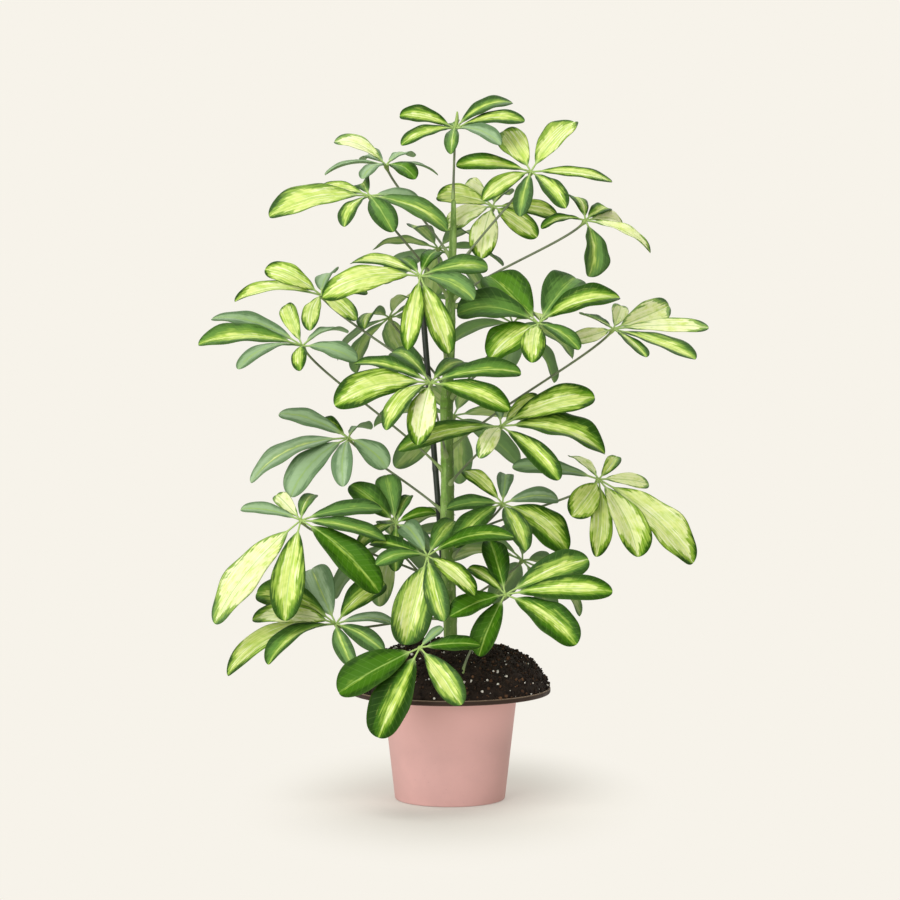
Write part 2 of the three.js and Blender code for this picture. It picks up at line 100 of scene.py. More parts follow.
# hub: the umbrella's middle. heading and tilt: the way it faces, in degrees from the front and from
# upright. foot: where its stalk leaves the stem, or the compost. A leaflet is its tip from the hub
# and how wide it is beside an ordinary one, and tints has a letter for each.
LEAVES = {
    "crown": dict(
        hub=(5, 0, 671), heading=0, tilt=34, foot=602, bud=(2, 2, 17), tints="llglsdg",
        leaflets=[(-55, 6, 13, 1.15), (-53, -28, -17, 0.95), (57, 12, 26, 1.2), (69, -14, 7, 0.95),
                  (45, -43, -17, 0.85), (-4, 50, 2, 1), (-4, -46, -26, 0.85)]),
    "top_right": dict(
        hub=(80, -22, 628), heading=10, tilt=42, foot=525, arch=0.07, tints="YYlylgy",
        leaflets=[(-27, 36, 41, 1.45), (44, 34, 50, 1.2), (-74, -6, 6, 0.95), (80, -8, -10, 0.75),
                  (33, -42, -36, 1), (-12, -44, -44, 0.9), (-48, -34, -28, 0.9)]),
    "top_middle": dict(
        hub=(43, 38, 594), heading=-20, tilt=44, foot=515, tints="Ypyylww",
        leaflets=[(-56, 14, 10, 1.3), (-46, -20, -24, 1.4), (44, -22, -31, 1.2), (66, 18, -10, 1),
                  (18, 56, 12, 1), (-12, -40, -52, 1.3), (-28, 52, 22, 1)]),
    "far_top_right": dict(
        hub=(134, -20, 580), heading=50, tilt=40, foot=500, tints="llgplw",
        leaflets=[(-13, 35, 24, 1.3), (24, 34, 12, 1.2), (2, -26, -55, 1.7), (64, -5, -32, 0.9),
                  (-44, -8, -8, 1), (40, 44, -8, 1)]),
    "top_left_upper": dict(
        hub=(-64, 22, 635), heading=-40, tilt=18, foot=540, tints="psssdss",
        leaflets=[(-52, 12, 24, 1.1), (27, 42, 9, 1), (52, -4, -10, 1), (-60, -28, -10, 1),
                  (30, -42, -14, 1.1), (-22, -50, -14, 1), (-22, 54, 6, 1)]),
    "top_left_lower": dict(
        hub=(-79, -38, 604), heading=-30, tilt=40, foot=500, tints="Yyldgsg",
        leaflets=[(-98, -18, -20, 1.1), (-58, 32, 0, 1.1), (-24, -38, -30, 1.1),
                  (24, -40, -35, 1.3), (76, -8, -34, 0.95), (51, 30, -10, 1), (-8, 56, 10, 1)]),
    "upper_middle": dict(
        hub=(-29, -82, 526), heading=-5, tilt=40, foot=435, tints="YyyyggdD",
        leaflets=[(-94, -24, -20, 1), (-68, 22, 12, 1), (-12, -38, -70, 0.8), (28, -24, -74, 0.95),
                  (66, 12, 8, 1.2), (52, -28, -22, 1.2), (-26, 50, 14, 1), (20, 52, 22, 1)]),
    "upper_right": dict(
        hub=(87, -55, 479), heading=10, tilt=50, foot=400, tints="ddlldyg",
        leaflets=[(-48, 32, 46, 1.9), (38, 36, 44, 1.8), (79, -8, 26, 1.25), (-48, -22, -34, 2),
                  (-80, -6, 10, 1.5), (-8, -50, -36, 1.2), (38, -40, -24, 1.1)]),
    "far_right": dict(
        hub=(163, 0, 472), heading=40, tilt=42, foot=349, arch=0.03, tints="lppplpl",
        leaflets=[(80, -30, -29, 1.25), (58, 40, 22, 1.1), (96, 12, 1, 0.6), (-44, -30, -12, 1),
                  (30, -50, -26, 0.9), (10, 48, 22, 1), (-32, 36, 14, 1)]),
    "upper_left": dict(
        hub=(-129, 22, 505), heading=-40, tilt=36, foot=407, tints="YYYsYg",
        leaflets=[(-57, 14, 26, 1.15), (-86, -16, -6, 0.9), (36, -30, -24, 1.1), (12, 46, 22, 1.4),
                  (-10, -40, -34, 1.1), (46, 16, 2, 1)]),
    "far_left": dict(
        hub=(-146, -28, 456), heading=-40, tilt=34, foot=326, tints="lssYssl",
        leaflets=[(-102, -14, 2, 1), (-60, -62, -20, 0.75), (-92, 34, 26, 0.7), (-18, 34, 40, 1),
                  (54, -22, -14, 1.3), (44, 26, 12, 1.1), (0, -52, -22, 0.9)]),
    "middle": dict(
        hub=(-19, -102, 423), heading=-5, tilt=38, foot=340, tints="ygwlgggy",
        leaflets=[(-92, -24, -20, 1.1), (-74, 16, 18, 0.9), (-12, -44, -57, 1.15),
                  (76, -26, -25, 1.1), (88, 12, 9, 0.8), (-38, 44, 28, 1.1), (34, 46, 18, 1.1),
                  (-42, -56, -42, 0.85)]),
    "right": dict(
        hub=(50, -68, 379), heading=20, tilt=42, foot=313, tints="ylllyps",
        leaflets=[(92, 8, 28, 1.15), (101, -14, -26, 1.35), (56, -34, -50, 0.9),
                  (-100, -24, -22, 0.9), (40, 38, 24, 1), (-22, -44, -28, 1), (-10, 50, 24, 1)]),
    "left": dict(
        hub=(-102, 14, 362), heading=-40, tilt=40, foot=285, tints="sSsslSs",
        leaflets=[(-70, 6, 24, 0.9), (-97, -22, -43, 0.95), (-56, -40, -56, 1.3),
                  (39, -16, -29, 1.5), (-30, 44, 12, 1), (-4, -48, -45, 1), (22, 44, 6, 1)]),
    "lower_left": dict(
        hub=(-147, -52, 285), heading=-25, tilt=42, foot=213, arch=0.08, tints="pyDdgsgp",
        leaflets=[(-84, -26, -99, 1.05), (-14, -38, -95, 1), (78, -40, -67, 1.0), (80, 9, 10, 1),
                  (84, -22, -18, 0.9), (-60, 10, 10, 0.8), (12, 42, 22, 1), (-26, 40, 22, 0.9)]),
    "lower_middle_left": dict(
        hub=(-54, -22, 279), heading=-10, tilt=46, foot=227, tints="ddgldgs",
        leaflets=[(-45, 14, 38, 1.4), (-10, 33, 46, 1.4), (14, 28, 26, 1), (-38, -26, -24, 1),
                  (40, 10, 10, 1), (0, -36, -44, 1), (36, -28, -26, 1)]),
    "bottom_left": dict(
        hub=(-113, -42, 181), heading=-25, tilt=40, foot=181, tints="lwgYSlSgg",
        leaflets=[(-80, 28, 28, 1.1), (-82, -14, 6, 1.1), (-64, -57, -33, 1.1),
                  (-106, -24, -48, 0.9), (-26, 44, 50, 1.5), (48, 18, 39, 1.5), (64, -4, -4, 1),
                  (18, -38, -38, 1), (48, -30, -24, 1)]),
    "lower_middle": dict(
        hub=(-22, -87, 253), heading=-5, tilt=46, foot=195, tints="ylygDsgD",
        leaflets=[(-22, -22, -84, 1.35), (16, -32, -60, 1), (46, -38, -34, 1.1), (-50, -20, -6, 1),
                  (84, -10, 20, 0.9), (-24, 42, 26, 1.2), (26, 44, 30, 1.2), (-56, 28, 10, 0.9)]),
    "bottom_right": dict(
        hub=(54, -92, 216), heading=5, tilt=48, arch=0.08, foot=(12, -80, 132), tints="DllLDDl",
        leaflets=[(-15, 30, 50, 1.3), (82, 22, 32, 1.1), (104, -12, 4, 0.85), (68, -40, -44, 1.2),
                  (-26, -18, -58, 1.3), (-54, -28, -18, 1.25), (-36, 22, 24, 1)]),
    "lower_right": dict(
        hub=(52, -36, 300), heading=5, tilt=46, foot=239, tints="dgllSys",
        leaflets=[(-55, -8, -4, 1.05), (-47, -46, -39, 1.1), (64, -16, -46, 1.5),
                  (22, -46, -42, 1.2), (56, 24, 2, 1), (-38, 34, 30, 1), (4, 44, 26, 1)]),
    "far_lower_right": dict(
        hub=(148, -18, 323), heading=30, tilt=42, foot=257, arch=0.06, tints="vvYYsypp",
        leaflets=[(36, -56, -72, 1.35), (94, -6, -83, 1.15), (-28, -36, -34, 1.6),
                  (-4, -34, -74, 1), (-86, 4, 12, 0.75), (20, 40, 20, 0.9), (52, 34, -8, 0.9),
                  (-28, 38, 20, 1)]),
    "bottom_middle": dict(
        hub=(-29, -132, 169), heading=-10, tilt=50, foot=(-16, -84, 128), arch=0.08, tints="DLyDs",
        leaflets=[(-78, -12, -42, 1.3), (-40, -22, -84, 1.3), (40, -24, -52, 1.15), (58, 4, 2, 1),
                  (22, 16, 18, 1)]),
    "back_top": dict(
        hub=(-12, 88, 551), heading=172, tilt=36, foot=481, ring=(68, 25), tints="ylgdlYs"),
    "back_upper_left": dict(
        hub=(-62, 74, 481), heading=-130, tilt=35, foot=410, ring=(69, 14), tints="lYdgyls"),
    "back_upper_right": dict(
        hub=(64, 80, 475), heading=145, tilt=38, foot=393, ring=(74, -6), tints="dygYlds"),
    "back_middle": dict(
        hub=(4, 108, 379), heading=178, tilt=42, foot=300, ring=(82, 10), tints="gylYdly"),
    "back_lower_left": dict(
        hub=(-58, 84, 251), heading=-145, tilt=42, foot=191, ring=(80, 5), tints="dlygdYs"),
    "back_lower_right": dict(
        hub=(74, 70, 233), heading=135, tilt=42, foot=185, ring=(80, 15), tints="ygdlYdg"),
}
RING_COUNT = 7  # leaflets of a leaf that has a plain ring of them
RING_DROOP = 0.32  # how far they hang below the way the leaf faces, beside their reach
ORDINARY_ARCH = 0.11
STALK_STEPS = 30
STALK_STUBS = (0.6, 1.1, 1.4)  # how far past the hub's middle the stalk goes on
CLASP_LENGTH, STEM_CLASP, SOIL_CLASP = 11.5, 0.4, 0.8  # the swelling at the stalk's foot
HUB_SWELLING, HUB_BACK, HUB_LENGTH, STALK_END = 1.5, 2.6, 3.4, 1.5
BUD_STEPS = 14

# A blade is built one long, so its own short stalk is a share of its length.
BLADE_START = 0.13
BLADE_COLUMNS = (0.04, 0.12, 0.26, 0.43, 0.6, 0.76, 0.88, 0.97)
BLADE_FOOT_ROWS = (0.03, 0.06, 0.09, 0.115, 0.135, 0.155, 0.18)
BLADE_TIP_ROWS = (0.918, 0.935, 0.95, 0.963, 0.974, 0.983, 0.99, 0.995, 0.9985)
BLADE_MIDDLE_ROWS = tuple(0.18 + 0.72 * i / 20 for i in range(1, 21))
VEIN_GAP, VEIN_SLANT = 0.0068, 0.75  # metres between side veins, and how they run to the tip
# Metres: the midrib, how far it is sunk above and stands out below, and the blade's puckers.
RIB_WIDTH, RIB_DEPTH, RIB_UNDER, QUILT = 0.0011, 0.0003, 0.0005, 0.0005


# ---- Pots, compost and stem, in millimetres ----

TRAY_RADIUS, TRAY_WALL, TRAY_LIP = 101.0, 2.4, 112.5
POT_WALL, POT_FLOOR, TOP_GAP, FOOT_GAP, CLEAR = 4.0, 5.0, 2.0, 1.2, 0.3
MOUND_SIDES, MOUND_RINGS, MOUND_HEIGHT, MOUND_SINK, LUMP_MARGIN = 280, 104, 46.5, 2, 8
STEM_STEPS, STEM_SIDES, STEM_KNOBS, STEM_END = 360, 32, 0.6, 2.6
SCAR_LENGTH, SCAR_LINE, SCAR_CUT = 3.2, 1.1, 0.3
CANE_STEPS, CANE_SIDES, CANE_KNOBS, CANE_END = 180, 24, 0.2, 1.6
CANE_JOINTS, JOINT_LENGTH, JOINT_SWELLING = (70, 163, 262, 356), 2.2, 0.35


# ---- Light ----

AIR_LIGHT = 0.42  # brightness of the air for everything but the camera
FLOOR_ALBEDO, FLOOR_GLOW = 0.56, 0.262
LAMPS = (
    # name, the way it shines, strength, breadth in degrees
    ("key_light", (0.28, 0.58, -0.9), 1.8, 35),
    ("front_light", (0.5, 1.0, -0.2), 1.65, 35),
    ("back_light", (-0.15, -0.75, -0.9), 1.5, 50),
)
FLOOR_REACH, FLOOR_DROP = 3, 0.0004
FLOOR_PLAIN = (0.09, 0.32)  # how far off the floor goes over to the air's plain colour
AIM_HEIGHT = 0.351  # of the point that the camera looks at


# ---- Node trees written as sums ----


def adds(operation, swapped=False):
    """An operator for Wire that adds the Math node of this name."""

    def add_node(self, *other):
        values = (*other, self) if swapped else (self, *other)
        return self.board.math(operation, *values)

    return add_node


class Wire:
    """An output socket that can stand in a Python sum: each operator adds the node for it."""

    def __init__(self, board, socket):
        self.board, self.socket = board, socket

    __add__, __radd__ = adds("ADD"), adds("ADD", swapped=True)
    __sub__, __rsub__ = adds("SUBTRACT"), adds("SUBTRACT", swapped=True)
    __mul__, __truediv__, __pow__ = adds("MULTIPLY"), adds("DIVIDE"), adds("POWER")
    __gt__, __lt__, __abs__ = adds("GREATER_THAN"), adds("LESS_THAN"), adds("ABSOLUTE")

    def __neg__(self):
        return self * -1.0


class Board:
    """A node tree under construction."""

    def __init__(self, tree):
        self.tree = tree
        tree.nodes.clear()

    def node(self, kind, inputs=None, **settings):
        """Adds a node, sets it and its sockets, and gives its outputs by name or place."""
        made = self.tree.nodes.new(kind)
        for name, value in settings.items():
            setattr(made, name, value)
        for key, value in (inputs or {}).items():
            self.feed(self.find(made.inputs, key), value)
        return lambda key=0: Wire(self, self.find(made.outputs, key))

    @staticmethod
    def find(sockets, key):
        if isinstance(key, int):
            return sockets[key]
        return next(s for s in sockets if s.enabled and key in (s.identifier, s.name))

    def feed(self, socket, value):
        if isinstance(value, Wire):
            self.tree.links.new(value.socket, socket)
        elif socket.type in {"VECTOR", "RGBA"}:
            numbers = list(value) if hasattr(value, "__len__") else [value] * 3
            socket.default_value = (numbers + [1.0])[: len(socket.default_value)]
        else:
            socket.default_value = value

    @staticmethod
    def is_vector(value):
        if isinstance(value, Wire):
            return value.socket.type in {"VECTOR", "RGBA"}
        return hasattr(value, "__len__")

    def math(self, operation, *values):
        """A Math node, or a Vector Math node if any of the values is a vector."""
        vector = any(self.is_vector(value) for value in values)
        kind = "ShaderNodeVectorMath" if vector else "ShaderNodeMath"
        out = self.node(kind, dict(enumerate(values)), operation=operation)
        return out("Value" if operation == "LENGTH" else 0)

    def fract(self, value):
        return self.math("FRACT", value)

    def at_least(self, value, least=0.0):
        return self.math("MAXIMUM", value, least)

    def blend(self, share, first, second):
        """One colour going over to another."""
        inputs = {"Factor_Float": share, "A_Color": first, "B_Color": second}
        return self.node("ShaderNodeMix", inputs, data_type="RGBA")("Result_Color")

    def ease(self, value, low, high, start=0.0, end=1.0):
        """start below low, end above high, and a smooth change between them."""
        inputs = {"Value": value, "From Min": low, "From Max": high, "To Min": start, "To Max": end}
        return self.node("ShaderNodeMapRange", inputs, interpolation_type="SMOOTHSTEP")("Result")

    def fade(self, value, low, high, end=0.0):
        """1 below low, and smoothly down to end above high."""
        return self.ease(value, low, high, 1.0, end)

    def clouds(self, place, scale, detail=3.0, roughness=0.55, warp=0.0):
        """Smooth noise from 0 to 1."""
        inputs = {"Vector": place, "Scale": scale, "Detail": detail, "Roughness": roughness}
        return self.node("ShaderNodeTexNoise", {**inputs, "Distortion": warp})()

    def parts(self, vector):
        out = self.node("ShaderNodeSeparateXYZ", {0: vector})
        return out(0), out(1), out(2)

    def join(self, x, y, z):
        return self.node("ShaderNodeCombineXYZ", {0: x, 1: y, 2: z})()


class Finish(Board):
    """A material under construction. Its shade is the colour that it has so far."""

    def __init__(self, name, colour):
        self.material = bpy.data.materials.new(name)
        self.material.use_nodes = True
        self.material.diffuse_color = (*colour, 1.0)
        super().__init__(self.material.node_tree)
        self.place = self.node("ShaderNodeTexCoord")("Object")
        self.shade = colour

    def reading(self, name):
        """The parts of a vector that the mesh carries."""
        return self.parts(self.node("ShaderNodeAttribute", attribute_name=name)("Vector"))

    def mottle(self, scale, *form, squeeze=1.0):
        """Clouds in the piece's own place. A squeeze below 1 draws them out upwards."""
        place = self.place if squeeze == 1.0 else self.place * (1.0, 1.0, squeeze)
        return self.clouds(place, scale, *form)

    def spots(self, low, high, scale, *form, **squeeze):
        """The parts of a mottle above low, full above high."""
        return self.ease(self.mottle(scale, *form, **squeeze), low, high)

    def ramp(self, value, *stops):
        """Makes the shade follow a value, from (value, colour) stops."""
        made = self.tree.nodes.new("ShaderNodeValToRGB")
        elements = made.color_ramp.elements
        while len(elements) < len(stops):
            elements.new(0.5)
        for element, (place, colour) in zip(elements, stops):
            element.position, element.color = place, (*colour, 1.0)
        self.feed(made.inputs[0], value)
        self.shade = Wire(self, made.outputs[0])

    def coat(self, share, colour):
        """Lays a colour over the shade."""
        self.shade = self.blend(share, self.shade, colour)

    def surface(self, roughness, relief, depth, strength, shine=0.5):
        """Ends the material in a Principled shader."""
        inputs = {"Height": relief, "Distance": depth, "Strength": strength}
        normal = self.node("ShaderNodeBump", inputs)("Normal")
        inputs = {"Base Color": self.shade, "Roughness": roughness, "Normal": normal}
        inputs["Specular IOR Level"] = shine
        self.close(self.node("ShaderNodeBsdfPrincipled", inputs)("BSDF"))
        return self.material

    def close(self, shader):
        self.node("ShaderNodeOutputMaterial", {"Surface": shader})


# ---- Making and finishing meshes ----


def new_piece(name, points, faces, edges=()):
    mesh = bpy.data.meshes.new(name)
    mesh.from_pydata(points, edges, faces)
    mesh.update()
    piece = bpy.data.objects.new(name, mesh)
    bpy.context.scene.collection.objects.link(piece)
    smooth(piece)
    return piece


def smooth(piece):
    piece.data.polygons.foreach_set("use_smooth", [True] * len(piece.data.polygons))


def note(piece, name, kind, values):
    """Writes one value for each point of a piece's mesh."""
    made = piece.data.attributes.new(name, kind, "POINT")
    if kind == "FLOAT_VECTOR":
        made.data.foreach_set("vector", [number for value in values for number in value])
    else:
        made.data.foreach_set("value", values)


def grow(piece, tree, settings):
    """Runs a geometry node tree on a piece and keeps the result as its plain mesh."""
    modifier = piece.modifiers.new("Grow", "NODES")
    modifier.node_group = tree
    items = tree.interface.items_tree
    sockets = {item.name: item.identifier for item in items if item.in_out == "INPUT"}
    for name, value in settings.items():
        modifier[sockets[name]] = value
    graph = bpy.context.evaluated_depsgraph_get()
    mesh = bpy.data.meshes.new_from_object(
        piece.evaluated_get(graph), preserve_all_data_layers=True, depsgraph=graph
    )
    piece.modifiers.clear()
    old = piece.data
    piece.data = mesh
    bpy.data.meshes.remove(old)
    mesh.name = piece.name
    smooth(piece)


def settle(piece, slot, *nodes):
    """Fixes a finished piece to the part's one body."""
    if nodes:
        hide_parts(*nodes)
    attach(piece, BODY)


def rounded(outline, steps=5):
    """An outline of (radius, height, rounding) corners in millimetres, its corners rounded."""
    result = []
    for i, (x, z, rounding) in enumerate(outline):
        here = Vector((x, z))
        if not rounding or i in (0, len(outline) - 1):
            result.append(here)
            continue
        before = (Vector(outline[i - 1][:2]) - here).normalized() * rounding
        after = (Vector(outline[i + 1][:2]) - here).normalized() * rounding
        for step in range(steps + 1):
            t = step / steps
            result.append(here + before * (1 - t) ** 2 + after * t**2)
    return result


def circle(radius, sides):
    """Places round a circle, anticlockwise from +X."""
    angles = (2 * math.pi * k / sides for k in range(sides))
    return [(radius * math.cos(angle), radius * math.sin(angle)) for angle in angles]


def skin(rows, count):
    """Faces over rings of points, with a single point before the first and after the last."""
    last = 1 + rows * count
    faces = []
    for k in range(count):
        after = (k + 1) % count
        faces.append((0, 1 + after, 1 + k))
        for first in range(1, last - count, count):
            a, b = first + k, first + after
            faces.append((a, b, b + count, a + count))
        faces.append((last - count + k, last - count + after, last))
    return faces


def turned_piece(name, outline, sides):
    """A closed round piece from an outline that starts and ends on the axis, anticlockwise."""
    (_, low), *corners, (_, high) = outline
    points = [(0, 0, low * MM)]
    for radius, height in corners:
        points += [(x, y, height * MM) for x, y in circle(radius * MM, sides)]
    points.append((0, 0, high * MM))
    return new_piece(name, points, skin(len(corners), sides))


# ---- Finishes ----


def pot_finish(colour):
    """Matt glaze with fine pits, and painted light that makes it paler towards the rim."""
    made = Finish("matt_pink_glaze", colour)
    height = made.parts(made.place)[2]
    broad, fine = made.mottle(22.0, 4.0), made.mottle(900.0, 2.0)
    pits = made.spots(0.66, 0.74, 420.0, 2.0)
    tones = (0.95, 1.04, 0.7, 1.3)
    deep, light, pit, top = (tuple(min(1.0, c * tone) for c in colour) for tone in tones)
    made.shade = made.blend(made.ease(broad, 0.3, 0.7), deep, light)
    made.coat(pits * 0.25, pit)
    # Painted light: paler from 45 mm up, standing in for light where the brown pot's wide rim
    # shades the pot.
    made.coat(made.ease(height, 0.045, 0.1), top)
    relief = fine * 0.6 + broad * 0.15 - pits * 0.5
    return made.surface(0.5 + broad * 0.16, relief, depth=0.00012, strength=0.5, shine=0.35)


def plastic_finish(lip, low):
    """Dusty brown plastic, worn pale where the rim ends above, at lip, and below, at low."""
    base = (0.02, 0.0105, 0.0065)
    made = Finish("brown_nursery_plastic", base)
    height = made.parts(made.place)[2]
    cloud, fine = made.mottle(60.0, 5.0), made.mottle(700.0, 3.0)
    dust = made.spots(0.45, 0.7, 150.0, 4.0)
    made.shade = made.blend(cloud, base, (0.045, 0.023, 0.013))
    made.coat(made.ease(height, lip - 0.0013, lip) * 0.6, (0.4, 0.29, 0.2))
    made.coat(made.fade(height, low - 0.0001, low + 0.0015) * 0.5, (0.13, 0.06, 0.035))
    made.coat(dust * 0.35, (0.05, 0.035, 0.026))
    return made.surface(0.5 + dust * 0.3, fine + cloud, depth=0.0001, strength=0.4, shine=0.25)


def compost_finish():
    made = Finish("damp_compost", (0.02, 0.012, 0.008))
    lumps, damp = made.mottle(160.0, 6.0, 0.7), made.mottle(38.0, 3.0)
    fibres = made.mottle(520.0, 5.0, 0.75, 0.6, squeeze=3.0)
    made.ramp(
        lumps * 0.6 + fibres * 0.4,
        (0.3, (0.006, 0.0035, 0.002)),
        (0.5, (0.018, 0.0105, 0.0065)),
        (0.66, (0.045, 0.025, 0.014)),
        (0.8, (0.1, 0.055, 0.03)),
    )
    relief = fibres + lumps
    return made.surface(0.75 + damp * 0.25, relief, depth=0.0008, strength=0.9, shine=0.3)


def crumb_finish():
    made = Finish("compost_crumbs", (0.03, 0.018, 0.011))
    tone, _, _ = made.reading("tone")
    grain = made.mottle(900.0, 4.0, 0.7)
    made.ramp(
        tone * 0.8 + grain * 0.25,
        (0.0, (0.007, 0.004, 0.0024)),
        (0.45, (0.022, 0.012, 0.007)),
        (0.8, (0.075, 0.036, 0.017)),
        (1.0, (0.19, 0.095, 0.045)),
    )
    return made.surface(0.85 + grain * 0.1, grain, depth=0.0004, strength=0.8, shine=0.3)


def perlite_finish():
    made = Finish("pale_perlite", (0.75, 0.72, 0.66))
    stain = made.spots(0.45, 0.75, 200.0, 3.0)
    made.shade = made.blend(stain * 0.6, (0.8, 0.77, 0.7), (0.42, 0.32, 0.23))
    return made.surface(0.9, made.mottle(1500.0, 4.0, 0.7), depth=0.0003, strength=0.8)


def bark_finish():
    """Green, woodier with age, with pores, leaf scars, and painted shade: a dark streak down the
    front's right side.
    """
    made = Finish("green_bark", (0.16, 0.24, 0.06))
    scar, along, _ = made.reading("bark")
    x, y, _ = made.parts(made.place)
    streaks = made.mottle(420.0, 5.0, 0.65, squeeze=0.12)
    patches = made.mottle(95.0, 4.0, 0.6, squeeze=0.35)
    pores = made.spots(0.62, 0.7, 560.0, 2.0, squeeze=0.4)
    scar = scar * made.spots(0.45, 0.62, 48.0, 2.0, squeeze=0.2)
    age = made.ease(patches * 0.4 + streaks * 0.6 - along * 0.2, 0.32, 0.5)
    made.shade = made.blend(made.ease(patches, 0.35, 0.65), (0.14, 0.29, 0.025), (0.4, 0.6, 0.17))
    made.coat(age * 0.42, made.blend(streaks, (0.055, 0.1, 0.012), (0.17, 0.24, 0.045)))
    # Painted shade: a dark streak down the stem's front right side, where its shaded side is seen.
    front = (x + 0.0035) * 0.75 - y * 0.65 + (patches - 0.5) * 0.009 + (streaks - 0.5) * 0.004
    streak = made.ease(front, 0.0025, 0.0045) * made.fade(front, 0.0065, 0.0088, 0.35)
    made.coat(streak * 0.75, made.blend(streaks, (0.035, 0.09, 0.005), (0.085, 0.17, 0.016)))
    made.coat(pores * 0.6, (0.42, 0.44, 0.24))
    made.coat(scar * 0.45, (0.07, 0.07, 0.022))
    relief = streaks + pores * 0.8 + scar * 0.4
    return made.surface(0.55 + streaks * 0.2, relief, depth=0.0006, strength=0.8)


def cane_finish():
    made = Finish("dark_cane", (0.013, 0.022, 0.013))
    grain = made.mottle(700.0, 4.0, 0.6, squeeze=0.05)
    wear = made.spots(0.58, 0.72, 130.0, 4.0)
    made.shade = made.blend(grain, (0.007, 0.011, 0.007), (0.024, 0.035, 0.022))
    made.coat(wear * 0.4, (0.07, 0.075, 0.05))
    return made.surface(0.38 + grain * 0.2, grain, depth=0.0003, strength=0.6)


def stalk_finish():
    """Grey green with darker speckles, and fresher green at both ends."""
    made = Finish("leaf_stalk", (0.12, 0.18, 0.07))
    along, _, _ = made.reading("stalk")
    speckle, broad = made.mottle(520.0, 4.0, 0.6), made.mottle(60.0, 2.0)
    made.shade = made.blend(made.ease(broad, 0.3, 0.7), (0.1, 0.125, 0.065), (0.17, 0.21, 0.105))
    made.coat(made.ease(along, 0.9, 1.0), (0.28, 0.4, 0.09))
    made.coat(made.ease(along, 0.04, 0.2, 0.85, 0.0), (0.27, 0.38, 0.11))
    made.coat(made.ease(speckle, 0.55, 0.75) * 0.35, (0.08, 0.1, 0.045))
    return made.surface(0.45 + speckle * 0.15, speckle, depth=0.00012, strength=0.4)


